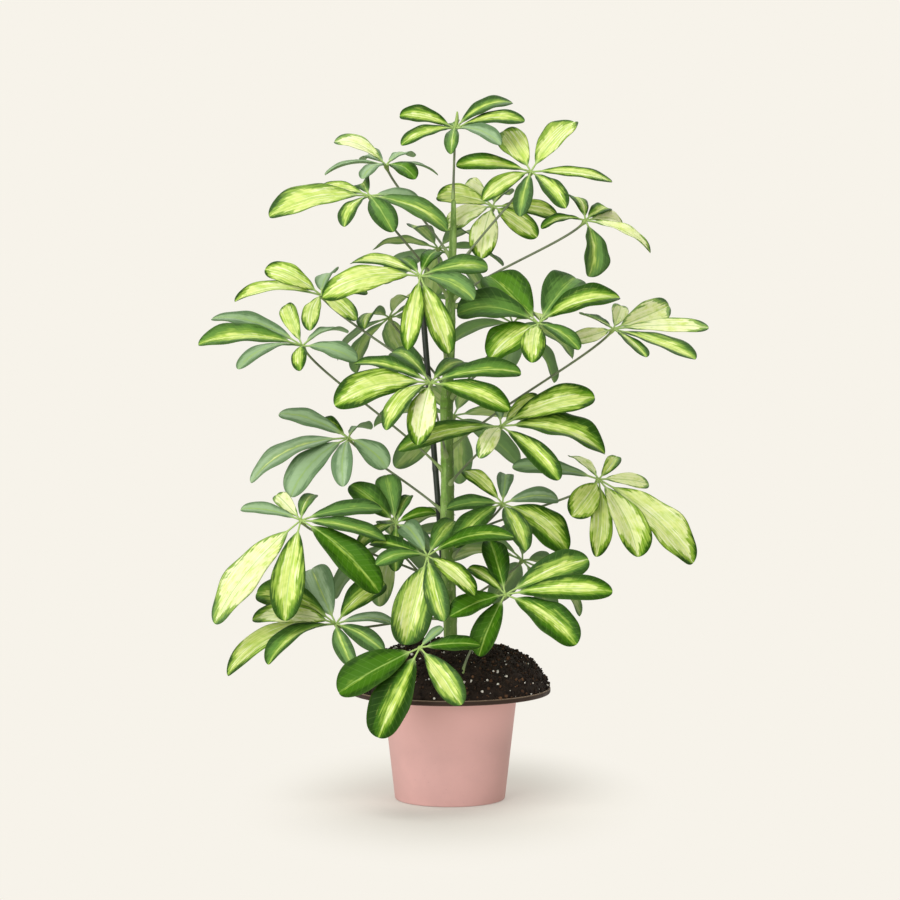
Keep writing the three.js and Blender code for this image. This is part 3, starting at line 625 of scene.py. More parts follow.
def blade_finish():
    """Feathered yellow round the midrib, green margins deepened partly by painted shade, painted
    sheen on some leaflets and painted shade on others, veins, and a paler, duller underside.
    """
    made = Finish("variegated_leaf", (0.13, 0.3, 0.03))
    across, share, face = made.reading("place")
    wide, far, seed = made.reading("spread")
    yellow, cream, painted_light = made.reading("tint")
    outward, off = abs(across), abs(wide)
    right = made.ease(across, -0.02, 0.02)

    def fibres(thin, long, shift, *form):
        """Noise drawn out along the leaflet, and other on each one."""
        place = made.join(wide * thin + seed * shift[0], far * long, seed * shift[1])
        return made.clouds(place, 1.0, *form)

    # Side veins leave the midrib and run out and towards the tip.
    vein = (far - off * VEIN_SLANT) / VEIN_GAP
    lane = made.join(vein * 0.9 + seed * 37.0, off * 60.0, right * 9.0 + seed * 11.0)
    feather = made.clouds(lane, 1.0, 2.0, 0.5, 0.2)
    streak = fibres(620.0, 42.0, (91.0, 17.0), 3.0, 0.55, 0.3)
    flakes = fibres(210.0, 95.0, (31.0, 7.0), 4.0, 0.6)
    glint = made.ease(fibres(900.0, 30.0, (53.0, 29.0), 2.0), 0.52, 0.68)

    # The coloured middle is widest half way along, and narrows to the tip and to the short stalk.
    # It is wider on one side of most leaflets.
    amount = made.math("SQRT", made.at_least(yellow, 0.01))
    swell = made.ease(share, 0.02, 0.36) * made.fade(share, 0.7, 1.03, 0.1)
    lopsided = (made.fract(seed * 5.1) - 0.5) * (right - 0.5) * amount * 0.9
    reach = yellow * 1.1 * swell - 0.07 + lopsided * swell
    ragged = (feather - 0.5) * 0.5 + (streak - 0.5) * 0.9
    inner = made.ease(reach - outward + ragged * amount, -0.06, 0.1)
    outer = made.ease(reach + 0.07 + amount * 0.3 - outward + ragged * 0.9, -0.16, 0.2)

    # Deep green at the margins and lighter inside, partly the leaflet's own zones and partly
    # painted shade at its edges; painted sheen greys it where the tint is above 0, and painted
    # shade deepens it where it is below 0.
    band = made.fade(outward + (streak - 0.5) * 0.7, 0.25, 0.85) * 0.75 + (flakes - 0.5) * 0.9
    band = made.ease(band + (made.fract(seed * 9.7) - 0.5) * 0.5, 0.0, 0.75)
    made.shade = made.blend(band, (0.018, 0.062, 0.001), (0.074, 0.2, 0.006))
    # Painted sheen: a grey-green standing in for reflected sky; painted shade: a deeper green where
    # the tint is below 0.
    made.coat(painted_light, made.blend(band, (0.14, 0.235, 0.115), (0.36, 0.49, 0.3)))
    made.coat(-painted_light, made.blend(band, (0.01, 0.04, 0.001), (0.032, 0.115, 0.002)))
    lime = made.blend(made.ease(streak, 0.3, 0.7), (0.14, 0.275, 0.012), (0.34, 0.485, 0.07))
    made.coat(outer, made.blend(painted_light * 0.8, lime, (0.24, 0.36, 0.2)))
    rich = made.ease(feather + streak, 0.7, 1.25)
    gold = made.blend(rich, (0.37, 0.545, 0.045), (0.62, 0.705, 0.2))
    pale = made.blend(cream * made.ease(flakes, 0.25, 0.6), gold, (0.79, 0.82, 0.48))
    made.coat(inner, made.blend(glint * 0.75, pale, (0.82, 0.84, 0.6)))

    # The midrib and the side veins are paler than the green that they cross.
    rib = made.fade(off, 0.00025, 0.0008) * made.fade(share, 0.8, 1.0, 0.2)
    made.coat(rib * 0.6, (0.3, 0.45, 0.11))
    ripple = abs(made.fract(vein) - 0.5)
    line = made.fade(ripple, 0.0, 0.1) * made.ease(outward, 0.02, 0.1)
    line = line * made.fade(outward, 0.7, 1.0) * (1.0 - inner)
    made.coat(line * 0.16, (0.2, 0.36, 0.08))
    stalk = made.fade(share, 0.1, 0.22)
    made.coat(stalk * 0.85, (0.38, 0.52, 0.17))
    # Painted shade darkens the very margin.
    made.coat(made.ease(outward, 0.9, 1.0) * (1.0 - stalk) * 0.6, (0.05, 0.11, 0.012))

    under = face < 0.0
    made.coat(under, made.blend(0.55, made.shade, (0.22, 0.34, 0.16)))
    relief = ripple * 0.5 + made.mottle(1400.0, 2.0) * 0.12 + rib * 0.3
    roughness = 0.46 + flakes * 0.14 + under * 0.15
    return made.surface(roughness, relief, depth=0.0006, strength=0.35, shine=0.11)


# ---- Geometry node trees ----


class Grower(Board):
    """A geometry node tree under construction. An input is its default, or its kind in words."""

    KINDS = {float: "Float", int: "Int", tuple: "Vector"}

    def __init__(self, tree_name, **inputs):
        super().__init__(bpy.data.node_groups.new(tree_name, "GeometryNodeTree"))
        self.plug("Geometry", "Geometry", "OUTPUT")
        self.plug("Geometry", "Geometry")
        for name, value in inputs.items():
            made = self.plug(name.replace("_", " "), self.KINDS.get(type(value), value))
            if type(value) in self.KINDS:
                made.default_value = value
        self.given = self.node("NodeGroupInput")
        self.place = self.node("GeometryNodeInputPosition")()

    def plug(self, name, kind, way="INPUT"):
        sockets = self.tree.interface
        return sockets.new_socket(name, in_out=way, socket_type="NodeSocket" + kind)

    def step(self, kind, geometry, inputs=None, **settings):
        """A node that changes the geometry in its first socket."""
        return self.node("GeometryNode" + kind, {0: geometry, **(inputs or {})}, **settings)()

    def reading(self, name, kind="FLOAT"):
        node = self.node("GeometryNodeInputNamedAttribute", {"Name": name}, data_type=kind)
        return node("Attribute")

    def vector(self, name):
        return self.reading(name, "FLOAT_VECTOR")

    def writing(self, geometry, name, kind, value):
        inputs = {"Name": name, "Value": value}
        return self.step("StoreNamedAttribute", geometry, inputs, data_type=kind, domain="POINT")

    def shape(self, name):
        """The mesh of the object that an input names."""
        return self.node("GeometryNodeObjectInfo", {"Object": self.given(name)})("Geometry")

    def swept(self, geometry, sides):
        """A round bar along edges, as thick at each point as the point says."""
        path = self.step("MeshToCurve", geometry)
        inputs = {"Resolution": self.given(sides), "Radius": 1.0}
        ring = self.node("GeometryNodeCurvePrimitiveCircle", inputs, mode="RADIUS")()
        inputs = {"Profile Curve": ring, "Scale": self.reading("thick"), "Fill Caps": True}
        return self.step("CurveToMesh", path, inputs)

    def joined(self, *geometries):
        made = self.tree.nodes.new("GeometryNodeJoinGeometry")
        for geometry in geometries:
            self.tree.links.new(geometry.socket, made.inputs[0])
        return Wire(self, made.outputs[0])

    def close(self, geometry, finish, *spent):
        """Ends the tree in plain, finished faces, without the notes that are spent."""
        geometry = self.step("RealizeInstances", geometry)
        for inputs in finish:
            geometry = self.step("SetMaterial", geometry, inputs)
        for name in spent:
            geometry = self.step("RemoveAttribute", geometry, {"Name": name})
        self.node("NodeGroupOutput", {0: geometry})
        return self.tree


def leaf_tree():
    """Grows a leaf from its plan: a blade bent onto each leaflet's point, and its stalk swept."""
    made = Grower(
        "Umbrella leaf",
        Blade="Object", Half_width=0.168, Fold=0.2, Thickness=0.0006,
        Short_stalk=BLADE_START, Short_stalk_radius=0.0009, Stalk_sides=14,
        Blade_finish="Material", Stalk_finish="Material",
    )
    given = made.given
    inputs = {"Geometry": given("Geometry"), "Selection": made.reading("is_leaflet", "BOOLEAN")}
    parted = made.node("GeometryNodeSeparateGeometry", inputs, domain="POINT")
    blades = made.step("InstanceOnPoints", parted("Selection"), {"Instance": made.shape("Blade")})
    blades = made.step("RealizeInstances", blades)

    flat_place, tip, up = made.vector("place"), made.vector("tip"), made.vector("up")
    across, share, face = made.parts(flat_place)
    arch, wide, fold = made.parts(made.vector("form"))
    sweep, wave, seed = made.parts(made.vector("sway"))
    outward, left = abs(across), 1.0 - share

    # The midrib arches from the hub to the tip, and the blade twists a little round it.
    length = made.math("LENGTH", tip)
    along = made.math("NORMALIZE", tip)
    side = made.math("CROSS_PRODUCT", along, up)
    rise = arch * length * 4.0 * (0.95 + made.fract(seed * 3.7) * 0.5)
    middle = tip * share + up * (rise * share * left * (0.8 + share * 0.4))
    slope = along * length + up * (rise * (0.8 - share * 0.8 - share * share * 1.2))
    flat = made.math("NORMALIZE", made.math("CROSS_PRODUCT", side, slope))
    twist = (made.fract(seed * 7.3) - 0.5) * 0.9 * (share - 0.2)
    turned, straight = made.math("SINE", twist), made.math("COSINE", twist)
    normal = flat * straight - side * turned
    side = side * straight + flat * turned

    # The blade widens from a round short stalk, and narrows to a blunt tip.
    start = given("Short stalk")
    part = made.math("MINIMUM", made.at_least((share - start) / (1.0 - start)), 1.0)
    body = part**0.85 * (1.0 - part) ** 0.52 * 2.47
    slim = made.fade(share, start, start + 0.24) * given("Short stalk radius")
    closing = made.ease(share, 0.0, 0.02)
    half = (given("Half width") * length * wide * body + slim) * closing

    # The edges rise, ripple a little, and roll down at the very margin; the midrib is sunk.
    folded = half * outward**1.35 * fold * given("Fold")
    ripple = made.math("SINE", share * 17.0 + seed * 40.0 + across * 1.3) * half * outward**2.0
    roll = made.at_least(outward - 0.82) * half * -0.5
    in_blade = made.ease(share, start, start + 0.12)
    rib_place = across * half / RIB_WIDTH
    rib = made.math("EXPONENT", -(rib_place * rib_place))
    rib = rib * in_blade * (1.0 - share * 0.7) * (RIB_DEPTH + (face < 0.0) * RIB_UNDER)
    vein = (share * length - outward * half * VEIN_SLANT) / VEIN_GAP * (2 * math.pi)
    quilt = made.math("SINE", vein) * in_blade * outward * (1.0 - outward) * QUILT
    thick = given("Thickness") * 0.5 * made.fade(share, 0.93, 1.0, 0.35) + slim * 0.75
    rounding = outward * outward * made.fade(share, start, start + 0.2, 0.3)
    round_off = made.math("SQRT", made.at_least(1.0 - rounding))
    height = folded + ripple * wave + roll - rib + quilt + face * (thick * closing) * round_off
    curve = length * sweep * share * left
    hub = made.place - flat_place
    spot = hub + middle + side * (across * half + curve) + normal * height
    spread = made.join(across * half, share * length, seed)
    blades = made.writing(blades, "spread", "FLOAT_VECTOR", spread)
    blades = made.step("SetPosition", blades, {"Position": spot})
    blades = made.writing(blades, "blade", "FLOAT", 1.0)

    whole = made.joined(blades, made.swept(parted("Inverted"), "Stalk sides"))
    is_blade = made.reading("blade") > 0.5
    finish = (
        {"Material": given("Stalk finish")},
        {"Selection": is_blade, "Material": given("Blade finish")},
    )
    spent = ("tip", "up", "form", "sway", "thick", "blade", "is_leaflet")
    return made.close(whole, finish, *spent)


def scatter_tree():
    """Strews irregular grains over the open top of a surface."""
    made = Grower(
        "Strewn grains",
        Grain="Object", Density=10000.0, Smallest=0.001, Largest=0.003, Lift=0.2, Dents=0.45,
        Stretch=(1.0, 1.0, 1.0), Seed=1, Finish="Material",
    )
    given = made.given
    inputs = {"Mesh": given("Geometry"), "Selection": made.reading("open") > 0.5}
    inputs.update({"Density": given("Density"), "Seed": given("Seed")})
    strewn = made.node("GeometryNodeDistributePointsOnFaces", inputs, distribute_method="RANDOM")
    inputs = {"Max": (6.28, 6.28, 6.28), "Seed": given("Seed")}
    turn = made.node("FunctionNodeRandomValue", inputs, data_type="FLOAT_VECTOR")("Value")
    draw, tone = (
        made.node("FunctionNodeRandomValue", {"Seed": seed}, data_type="FLOAT")("Value")
        for seed in (77, 31)
    )
    size = given("Smallest") + (given("Largest") - given("Smallest")) * draw * draw * draw
    marks = made.join(tone * tone, size, 0.0)
    points = made.writing(strewn("Points"), "tone", "FLOAT_VECTOR", marks)
    lift = strewn("Normal") * (given("Lift") * size)
    points = made.step("SetPosition", points, {"Offset": lift})
    inputs = {"Instance": made.shape("Grain"), "Rotation": turn, "Scale": given("Stretch") * size}
    whole = made.step("RealizeInstances", made.step("InstanceOnPoints", points, inputs))
    _, width, _ = made.parts(made.vector("tone"))
    dents = (made.clouds(made.place, 420.0, 2.0) - 0.5) * width * given("Dents")
    inputs = {"Offset": made.node("GeometryNodeInputNormal")() * dents}
    whole = made.step("SetPosition", whole, inputs)
    return made.close(whole, [{"Material": given("Finish")}])


def sweep_tree():
    """Sweeps a ring along a path whose points carry their thickness."""
    made = Grower("Swept bar", Sides=28, Knobs=0.0002, Finish="Material")
    given = made.given
    bar = made.swept(given("Geometry"), "Sides")
    knobs = (made.clouds(made.place * (1.0, 1.0, 0.45), 150.0, 3.0) - 0.5) * given("Knobs")
    inputs = {"Offset": made.node("GeometryNodeInputNormal")() * knobs}
    whole = made.step("SetPosition", bar, inputs)
    return made.close(whole, [{"Material": given("Finish")}], "thick")


# ---- Stem and leaves ----


def hump(distance, width):
    """1 where distance is 0, and smoothly down to nothing past a few widths."""
    return math.exp(-((distance / width) ** 2))


def round_end(left, depth, least):
    """The thickness of a bar with a rounded end, at a distance left to the end."""
    return max(least, math.sqrt(max(0.0, 1 - (max(0.0, depth - left) / depth) ** 2)))


def stem_at(height):
    """The stem's middle and its radius at a height, in millimetres."""
    pairs = zip(STEM_PATH, STEM_PATH[1:])
    low, high = next((pair for pair in pairs if height <= pair[1][2]), STEM_PATH[-2:])
    share = (height - low[2]) / (high[2] - low[2])
    place = Vector(low[:3]).lerp(Vector(high[:3]), min(share, 1.0))
    return place, low[3] + (high[3] - low[3]) * share


def bar_plan(name, path, thick):
    """A line of joined points with their thickness, for the sweep tree."""
    plan = new_piece(name, path, [], [(i, i + 1) for i in range(len(path) - 1)])
    note(plan, "thick", "FLOAT", thick)
    return plan


def in_soil(leaf):
    return isinstance(leaf["foot"], tuple)


def facing(leaf):
    tilt, heading = math.radians(leaf["tilt"]), math.radians(leaf["heading"])
    level = math.sin(tilt)
    return Vector((level * math.sin(heading), -level * math.cos(heading), math.cos(tilt)))


def seeded_draws(seed):
    """The same draws every time, between -1 and 1."""
    state = seed
    while True:
        state = (state * 16807) % 2147483647
        yield 2 * state / 2147483647 - 1


def leaf_tips(leaf):
    """(tip from the hub, width) of each leaflet, in millimetres."""
    if "leaflets" in leaf:
        return [(Vector(row[:3]), row[3]) for row in leaf["leaflets"]]
    axis = facing(leaf)
    level = Vector((0, 0, 1)).cross(axis).normalized()
    uphill = axis.cross(level)
    reach, turn = leaf["ring"]
    tips = []
    for i in range(RING_COUNT):
        angle = math.radians(turn + 360 * i / RING_COUNT)
        spoke = level * math.cos(angle) + uphill * math.sin(angle) - axis * RING_DROOP
        tips.append((spoke * reach, 1.0))
    return tips


def leaflet_rows(leaf, index):
    """What the leaf tree reads for each leaflet, with small differences by chance."""
    axis = facing(leaf)
    draws, chance = seeded_draws(101 + 7 * index), random.Random(900 + index)

    def vary(value, by, least=0.0):
        return min(1.0, max(least, value + chance.uniform(-by, by)))

    rows = []
    for (tip, wide), letter in zip(leaf_tips(leaf), leaf["tints"]):
        along = tip.normalized()
        up = (axis - along * axis.dot(along)).normalized()
        up.rotate(Quaternion(along, 0.16 * next(draws)))
        yellow, cream, painted_light = TINTS[letter]
        row = dict(
            tip=tip * MM,
            up=up,
            form=(leaf.get("arch", ORDINARY_ARCH), wide, chance.uniform(0.6, 2.0)),
            sway=(chance.uniform(-0.12, 0.12), chance.uniform(0.02, 0.09), chance.random()),
            tint=(vary(yellow, 0.05), vary(cream, 0.12), vary(painted_light, 0.1, -1.0)),
        )
        rows.append(row)
    return rows


def stalk_run(leaf, radius):
    """(place, thickness, share of the way) from the stalk's foot into the hub, in millimetres."""
    hub, axis = Vector(leaf["hub"]), facing(leaf)
    if in_soil(leaf):
        foot, clasp = Vector(leaf["foot"]), SOIL_CLASP
        leave = Vector((0, 0, 0.3))
    else:
        foot, stem_radius = stem_at(leaf["foot"])
        clasp = STEM_CLASP * stem_radius
        leave = (hub - foot).normalized() * 0.3 + Vector((0, 0, 0.05))
    # It leaves its foot rising, and comes into the hub the way that the leaf faces.
    span = (hub - foot).length
    one, two = foot + leave * span, hub - axis * 0.16 * span
    path = []
    for i in range(STALK_STEPS + 1):
        t = i / STALK_STEPS
        u = 1 - t
        path.append(foot * u**3 + one * 3 * t * u**2 + two * 3 * t * t * u + hub * t**3)
    path += [hub + axis * stub for stub in STALK_STUBS]
    reach = [0.0]
    for a, b in zip(path, path[1:]):
        reach.append(reach[-1] + (b - a).length)
    run = []
    for place, gone in zip(path, reach):
        left = reach[-1] - gone
        thick = radius + clasp * hump(gone, CLASP_LENGTH)
        thick += HUB_SWELLING * hump(left - HUB_BACK, HUB_LENGTH)
        run.append((place, thick * round_end(left, STALK_END, 0.12), gone / reach[-1]))
    return run


def bud_run(leaf):
    """The same for the bud in the middle of the top leaf."""
    run = []
    for i in range(BUD_STEPS + 1):
        share = i / BUD_STEPS
        sway = Vector((0.8 * math.sin(share * 3), 0, 0))
        thick = 0.5 + 1.5 * math.sin(math.pi * min(1.0, 0.25 + share * 0.72)) ** 0.8
        run.append((Vector(leaf["hub"]) + Vector(leaf["bud"]) * share + sway, thick, 1.0))
    return run


def leaf_plan(name, leaf, index, stalk_radius):
    """A mesh with a point for each leaflet and the stalk's path, for the leaf tree."""
    rows = leaflet_rows(leaf, index)
    runs = [stalk_run(leaf, stalk_radius)]
    if "bud" in leaf:
        runs.append(bud_run(leaf))
    edges, first = [], len(rows)
    for run in runs:
        edges += [(first + i, first + i + 1) for i in range(len(run) - 1)]
        first += len(run)
    places, thick, shares = zip(*(step for run in runs for step in run))
    points = [Vector(leaf["hub"]) * MM] * len(rows) + [place * MM for place in places]
    plan = new_piece("foliage_" + name, points, [], edges)
    blank = (0.0, 0.0, 0.0)
    note(plan, "is_leaflet", "BOOLEAN", [True] * len(rows) + [False] * len(places))
    for key in ("tip", "up", "form", "sway", "tint"):
        note(plan, key, "FLOAT_VECTOR", [row[key] for row in rows] + [blank] * len(places))
    note(plan, "thick", "FLOAT", [0.0] * len(rows) + [value * MM for value in thick])
    along = [(share, 0.0, 0.0) for share in shares]
    note(plan, "stalk", "FLOAT_VECTOR", [blank] * len(rows) + along)
    return plan


def unit_blade():
    """A flat leaflet one long and two wide, closed all round, for the leaf tree to bend."""
    columns = [-x for x in reversed(BLADE_COLUMNS)] + list(BLADE_COLUMNS)
    top, bottom = [(x, 1) for x in columns], [(x, -1) for x in reversed(columns)]
    ring = [(-1, 0), *top, (1, 0), *bottom]
    shares = BLADE_FOOT_ROWS + BLADE_MIDDLE_ROWS + BLADE_TIP_ROWS
    points = [(0, 0, 0), *((x, share, face) for share in shares for x, face in ring), (0, 1, 0)]
    blade = new_piece("unit_blade", points, skin(len(shares), len(ring)))
    note(blade, "place", "FLOAT_VECTOR", points)
    return blade


# ---- Compost ----


def mound_height(x, y):
    """Height of the compost's surface at a place, in millimetres, with its lumps."""
    edge = TRAY_RADIUS - TRAY_WALL
    radius = math.hypot(x, y)
    share = min(1.0, radius / edge)
    height = TRAY_LIP - MOUND_SINK + (MOUND_HEIGHT + MOUND_SINK) * math.sqrt(1 - share * share)
    inside = min(1.0, max(0.0, (edge - 1 - radius) / LUMP_MARGIN))
    lump = math.sin(0.11 * x + 1) * math.cos(0.13 * y) + 0.6 * math.sin(-0.23 * y + 0.17 * x)
    spot = Vector((x, y, height))
    fine = noise.fractal(spot * 0.16, 0.75, 2.0, 4) * 1.9 + noise.noise(spot * 0.06) * 1.6
    return height + inside * (1.6 * lump + fine)


def pot_sizes(given):
    """The pink pot's top radius, foot radius and height."""
    return tuple(value / MM for value in (given.top_radius, given.foot_radius, given.height))


def tray_sizes(given):
    """The nursery pot's outside: the height and radius of its foot, and of its neck under the
    wide rim."""
    top, foot, height = pot_sizes(given)
    return POT_FLOOR + CLEAR, foot - POT_WALL - FOOT_GAP, height + CLEAR, top - POT_WALL - TOP_GAP


def rough_grain():
    """A rough ball one across, of few faces, to be made smaller."""
    made = bmesh.new()
    bmesh.ops.create_uvsphere(made, u_segments=6, v_segments=4, radius=0.5)
    for point in made.verts:
        point.co *= 1 + 0.5 * noise.noise(point.co * 2.3 + Vector((41, 0, 0)))
    grain = new_piece("rough_grain", [], [])
    made.to_mesh(grain.data)
    made.free()
    return grain


# ---- What a user may change ----


def number(name, description, default, unit="LENGTH"):
    return FloatProperty(name=name, description=description, default=default, unit=unit)


def density(name, description, default):
    return number(name, description + " in a square metre", default, "NONE")


def colour(name, description, default):
    return FloatVectorProperty(
        name=name, description=description, subtype="COLOR", size=3, min=0, max=1, default=default
    )


class PotSettings(bpy.types.PropertyGroup):
    glaze: colour("Glaze", "Colour of the pink pot", (0.65, 0.38, 0.355))
    top_radius: number("Top radius", "Radius of the pink pot's rim", 0.0675)
    foot_radius: number("Foot radius", "Radius of the pink pot's foot", 0.0553)
    height: number("Height", "Height of the pink pot", 0.107)
    sides: IntProperty(name="Sides", description="Steps round the pots", default=144, min=24)


class CompostSettings(bpy.types.PropertyGroup):
    crumb_density: density("Crumb density", "Crumbs", 98000)
    perlite_density: density("Perlite density", "Pale grains", 8000)
    chip_density: density("Bark density", "Bark chips", 7000)


class StemSettings(bpy.types.PropertyGroup):
    scar_swell: number("Scar swelling", "How far a leaf scar stands out", 0.0006)
    cane_radius: number("Cane radius", "Radius of the support cane", 0.0032)


class LeafSettings(bpy.types.PropertyGroup):
    thickness: number("Thickness", "Thickness of a leaflet", 0.0006)
    fold: number("Fold", "Rise of a leaflet's edges beside its half width", 0.22, "NONE")
    stalk_radius: number("Stalk radius", "Radius of a leaf's stalk", 0.0012)


class StageSettings(bpy.types.PropertyGroup):
    backdrop: colour("Backdrop", "Colour of the floor and the air", (0.93, 0.896, 0.823))
    lens: number("Lens", "Focal length of the camera", 135, "CAMERA")
    distance: number("Distance", "From the camera to the plant", 3.375)
    elevation: number("Elevation", "Camera over the horizon", math.radians(4), "ROTATION")


# ---- Operators ----


class UMBRELLA_OT_pots(bpy.types.Operator):
    """Turns the pink pot and the brown nursery pot in it"""

    bl_idname = "umbrella_plant.pots"
    bl_label = "Pots"

    def execute(self, context):
        given = context.scene.umbrella_pot
        top, foot, height = pot_sizes(given)
        corners = [
            # radius, height, rounding: the hollow foot, the outside, the rim and the inside
            (0, 0, 0), (38, 0, 0), (38.8, 1.4, 0.5), (42.2, 1.4, 0.5), (43, 0, 0.3), (foot, 0, 1.6),
            (top, height, 1.3), (top - POT_WALL, height, 1.3),
            (foot - POT_WALL, POT_FLOOR, 3), (0, POT_FLOOR, 0),
        ]
        pot = turned_piece("glazed_pot", rounded(corners), given.sides)
        pot.data.materials.append(pot_finish(tuple(given.glaze)))
        settle(pot, "pot", "pink_pot")

        low, tray_foot, shelf, neck = tray_sizes(given)
        wall, rim = TRAY_WALL, TRAY_RADIUS
        corners = [
            (0, low, 0), (tray_foot, low, 1), (neck, shelf, 0.6), (rim, shelf, 1.6),
            (rim, TRAY_LIP, 1.0), (rim - wall, TRAY_LIP, 1.0), (rim - wall, shelf + wall, 1),
            (neck - wall, shelf + wall, 0.6), (tray_foot - wall, low + wall, 1), (0, low + wall, 0),
        ]
        tray = turned_piece("brown_pot", rounded(corners), given.sides)
        tray.data.materials.append(plastic_finish(TRAY_LIP * MM, shelf * MM))
        settle(tray, "nursery_plastic", "nursery_pot")
        return {"FINISHED"}


class UMBRELLA_OT_compost(bpy.types.Operator):
    """Heaps the compost and strews crumbs, bark and pale grains over it"""

    bl_idname = "umbrella_plant.compost"
    bl_label = "Compost"

    def execute(self, context):
        given = context.scene.umbrella_compost
        mound = self.heap(*tray_sizes(context.scene.umbrella_pot))
        mound.data.materials.append(compost_finish())
        tree, grain, crumbs = scatter_tree(), rough_grain(), crumb_finish()
        kinds = (
            # name, finish, density, smallest, largest, stretch, seed
            ("compost_crumbs", crumbs, given.crumb_density, 0.0009, 0.0046, (1.0, 0.85, 0.8), 5),
            ("bark_chips", crumbs, given.chip_density, 0.0018, 0.0068, (1.0, 0.42, 0.22), 6),
            (
                "perlite_grains", perlite_finish(), given.perlite_density, 0.0008, 0.0036,
                (1.0, 0.9, 0.8), 9,
            ),
        )
        names = ("Finish", "Density", "Smallest", "Largest", "Stretch", "Seed")
        for name, *values in kinds:
            strewn = bpy.data.objects.new(name, mound.data.copy())
            context.scene.collection.objects.link(strewn)
            grow(strewn, tree, {"Grain": grain, **dict(zip(names, values))})
            settle(strewn, "compost")
        settle(mound, "compost", "compost")
        bpy.data.objects.remove(grain)
        return {"FINISHED"}

    @staticmethod
    def heap(tray_low, tray_foot, tray_shelf, neck):
        """The compost's whole mass, with a note on the points of its open top."""
        inside = TRAY_WALL + CLEAR
        edge, low, shelf = TRAY_RADIUS - inside, tray_low + inside, tray_shelf + inside
        hidden = (
            (tray_foot - inside, low), (neck - inside, shelf), (edge, shelf), (edge, TRAY_LIP - 0.5)
        )
        points = [(0, 0, low * MM)]
        for radius, height in hidden:
            points += [(x, y, height * MM) for x, y in circle(radius * MM, MOUND_SIDES)]
        buried = len(points)
        for i in range(MOUND_RINGS):
            radius = edge * math.cos(0.5 * math.pi * i / MOUND_RINGS) ** 0.8
            for x, y in circle(radius, MOUND_SIDES):
                points.append((x * MM, y * MM, mound_height(x, y) * MM))
        points.append((0, 0, mound_height(0, 0) * MM))
        faces = skin(len(hidden) + MOUND_RINGS, MOUND_SIDES)
        mound = new_piece("compost_mound", points, faces)
        note(mound, "open", "FLOAT", [0.0] * buried + [1.0] * (len(points) - buried))
        return mound


class UMBRELLA_OT_stem(bpy.types.Operator):
    """Grows the woody stem with its leaf scars, and stands the cane beside it"""

    bl_idname = "umbrella_plant.stem"
    bl_label = "Stem and cane"

    def execute(self, context):
        given = context.scene.umbrella_stem
        tree = sweep_tree()

        (*_, low, widest), (*_, high, _) = STEM_PATH[0], STEM_PATH[-1]
        scars = [leaf["foot"] for leaf in LEAVES.values() if not in_soil(leaf)]
        path, thick, bark = [], [], []
        for i in range(STEM_STEPS + 1):
            height = low + (high - low) * i / STEM_STEPS
            place, radius = stem_at(height)
            near = min(abs(height - scar) for scar in scars)
            mark = hump(near, SCAR_LINE)
            # It bends and swells a little, in slow waves.
            bend = Vector((math.sin(height * 0.045), math.sin(height * 0.06 + 2), 0))
            slow = 0.15 * math.sin(height * 0.07) + 0.09 * math.sin(height * 0.19 + 1)
            swell = given.scar_swell * hump(near, SCAR_LENGTH) * radius / widest
            end = round_end(high - height, STEM_END, 0.1)
            path.append((place + bend * 0.5) * MM)
            thick.append(((radius + slow - SCAR_CUT * mark) * MM + swell) * end)
            bark.append((mark, (height - low) / (high - low), 0.0))
        stem = bar_plan("woody_stem", path, thick)
        note(stem, "bark", "FLOAT_VECTOR", bark)
        settings = {"Sides": STEM_SIDES, "Knobs": STEM_KNOBS * MM, "Finish": bark_finish()}
        grow(stem, tree, settings)
        settle(stem, "bark", "stem")

        foot, tip = (Vector(end) for end in CANE_ENDS)
        length = (tip - foot).length
        path, thick = [], []
        for i in range(CANE_STEPS + 1):
            share = i / CANE_STEPS
            joint = sum(hump(share * length - at, JOINT_LENGTH) for at in CANE_JOINTS)
            path.append(foot.lerp(tip, share) * MM)
            end = round_end((1 - share) * length, CANE_END, 0.1414)
            swelling = (JOINT_SWELLING * joint - CANE_KNOBS) * MM
            thick.append((given.cane_radius + swelling) * end)
        cane = bar_plan("support_cane", path, thick)
        settings = {"Sides": CANE_SIDES, "Knobs": CANE_KNOBS * MM, "Finish": cane_finish()}
        grow(cane, tree, settings)
        settle(cane, "cane", "cane")
        return {"FINISHED"}


class UMBRELLA_OT_leaves(bpy.types.Operator):
    """Grows every leaf, with its stalk, its hub and its leaflets, from the plan"""

    bl_idname = "umbrella_plant.leaves"
    bl_label = "Leaves"

    def execute(self, context):
        given = context.scene.umbrella_leaf
        blade, tree = unit_blade(), leaf_tree()
        settings = {
            "Blade": blade,
            "Fold": given.fold,
            "Thickness": given.thickness,
            "Blade finish": blade_finish(),
            "Stalk finish": stalk_finish(),
        }
        for index, (name, leaf) in enumerate(LEAVES.items()):
            piece = leaf_plan(name, leaf, index, given.stalk_radius / MM)
            grow(piece, tree, settings)
            settle(piece, "leaf", "leaf_" + name)
        bpy.data.objects.remove(blade)
        return {"FINISHED"}


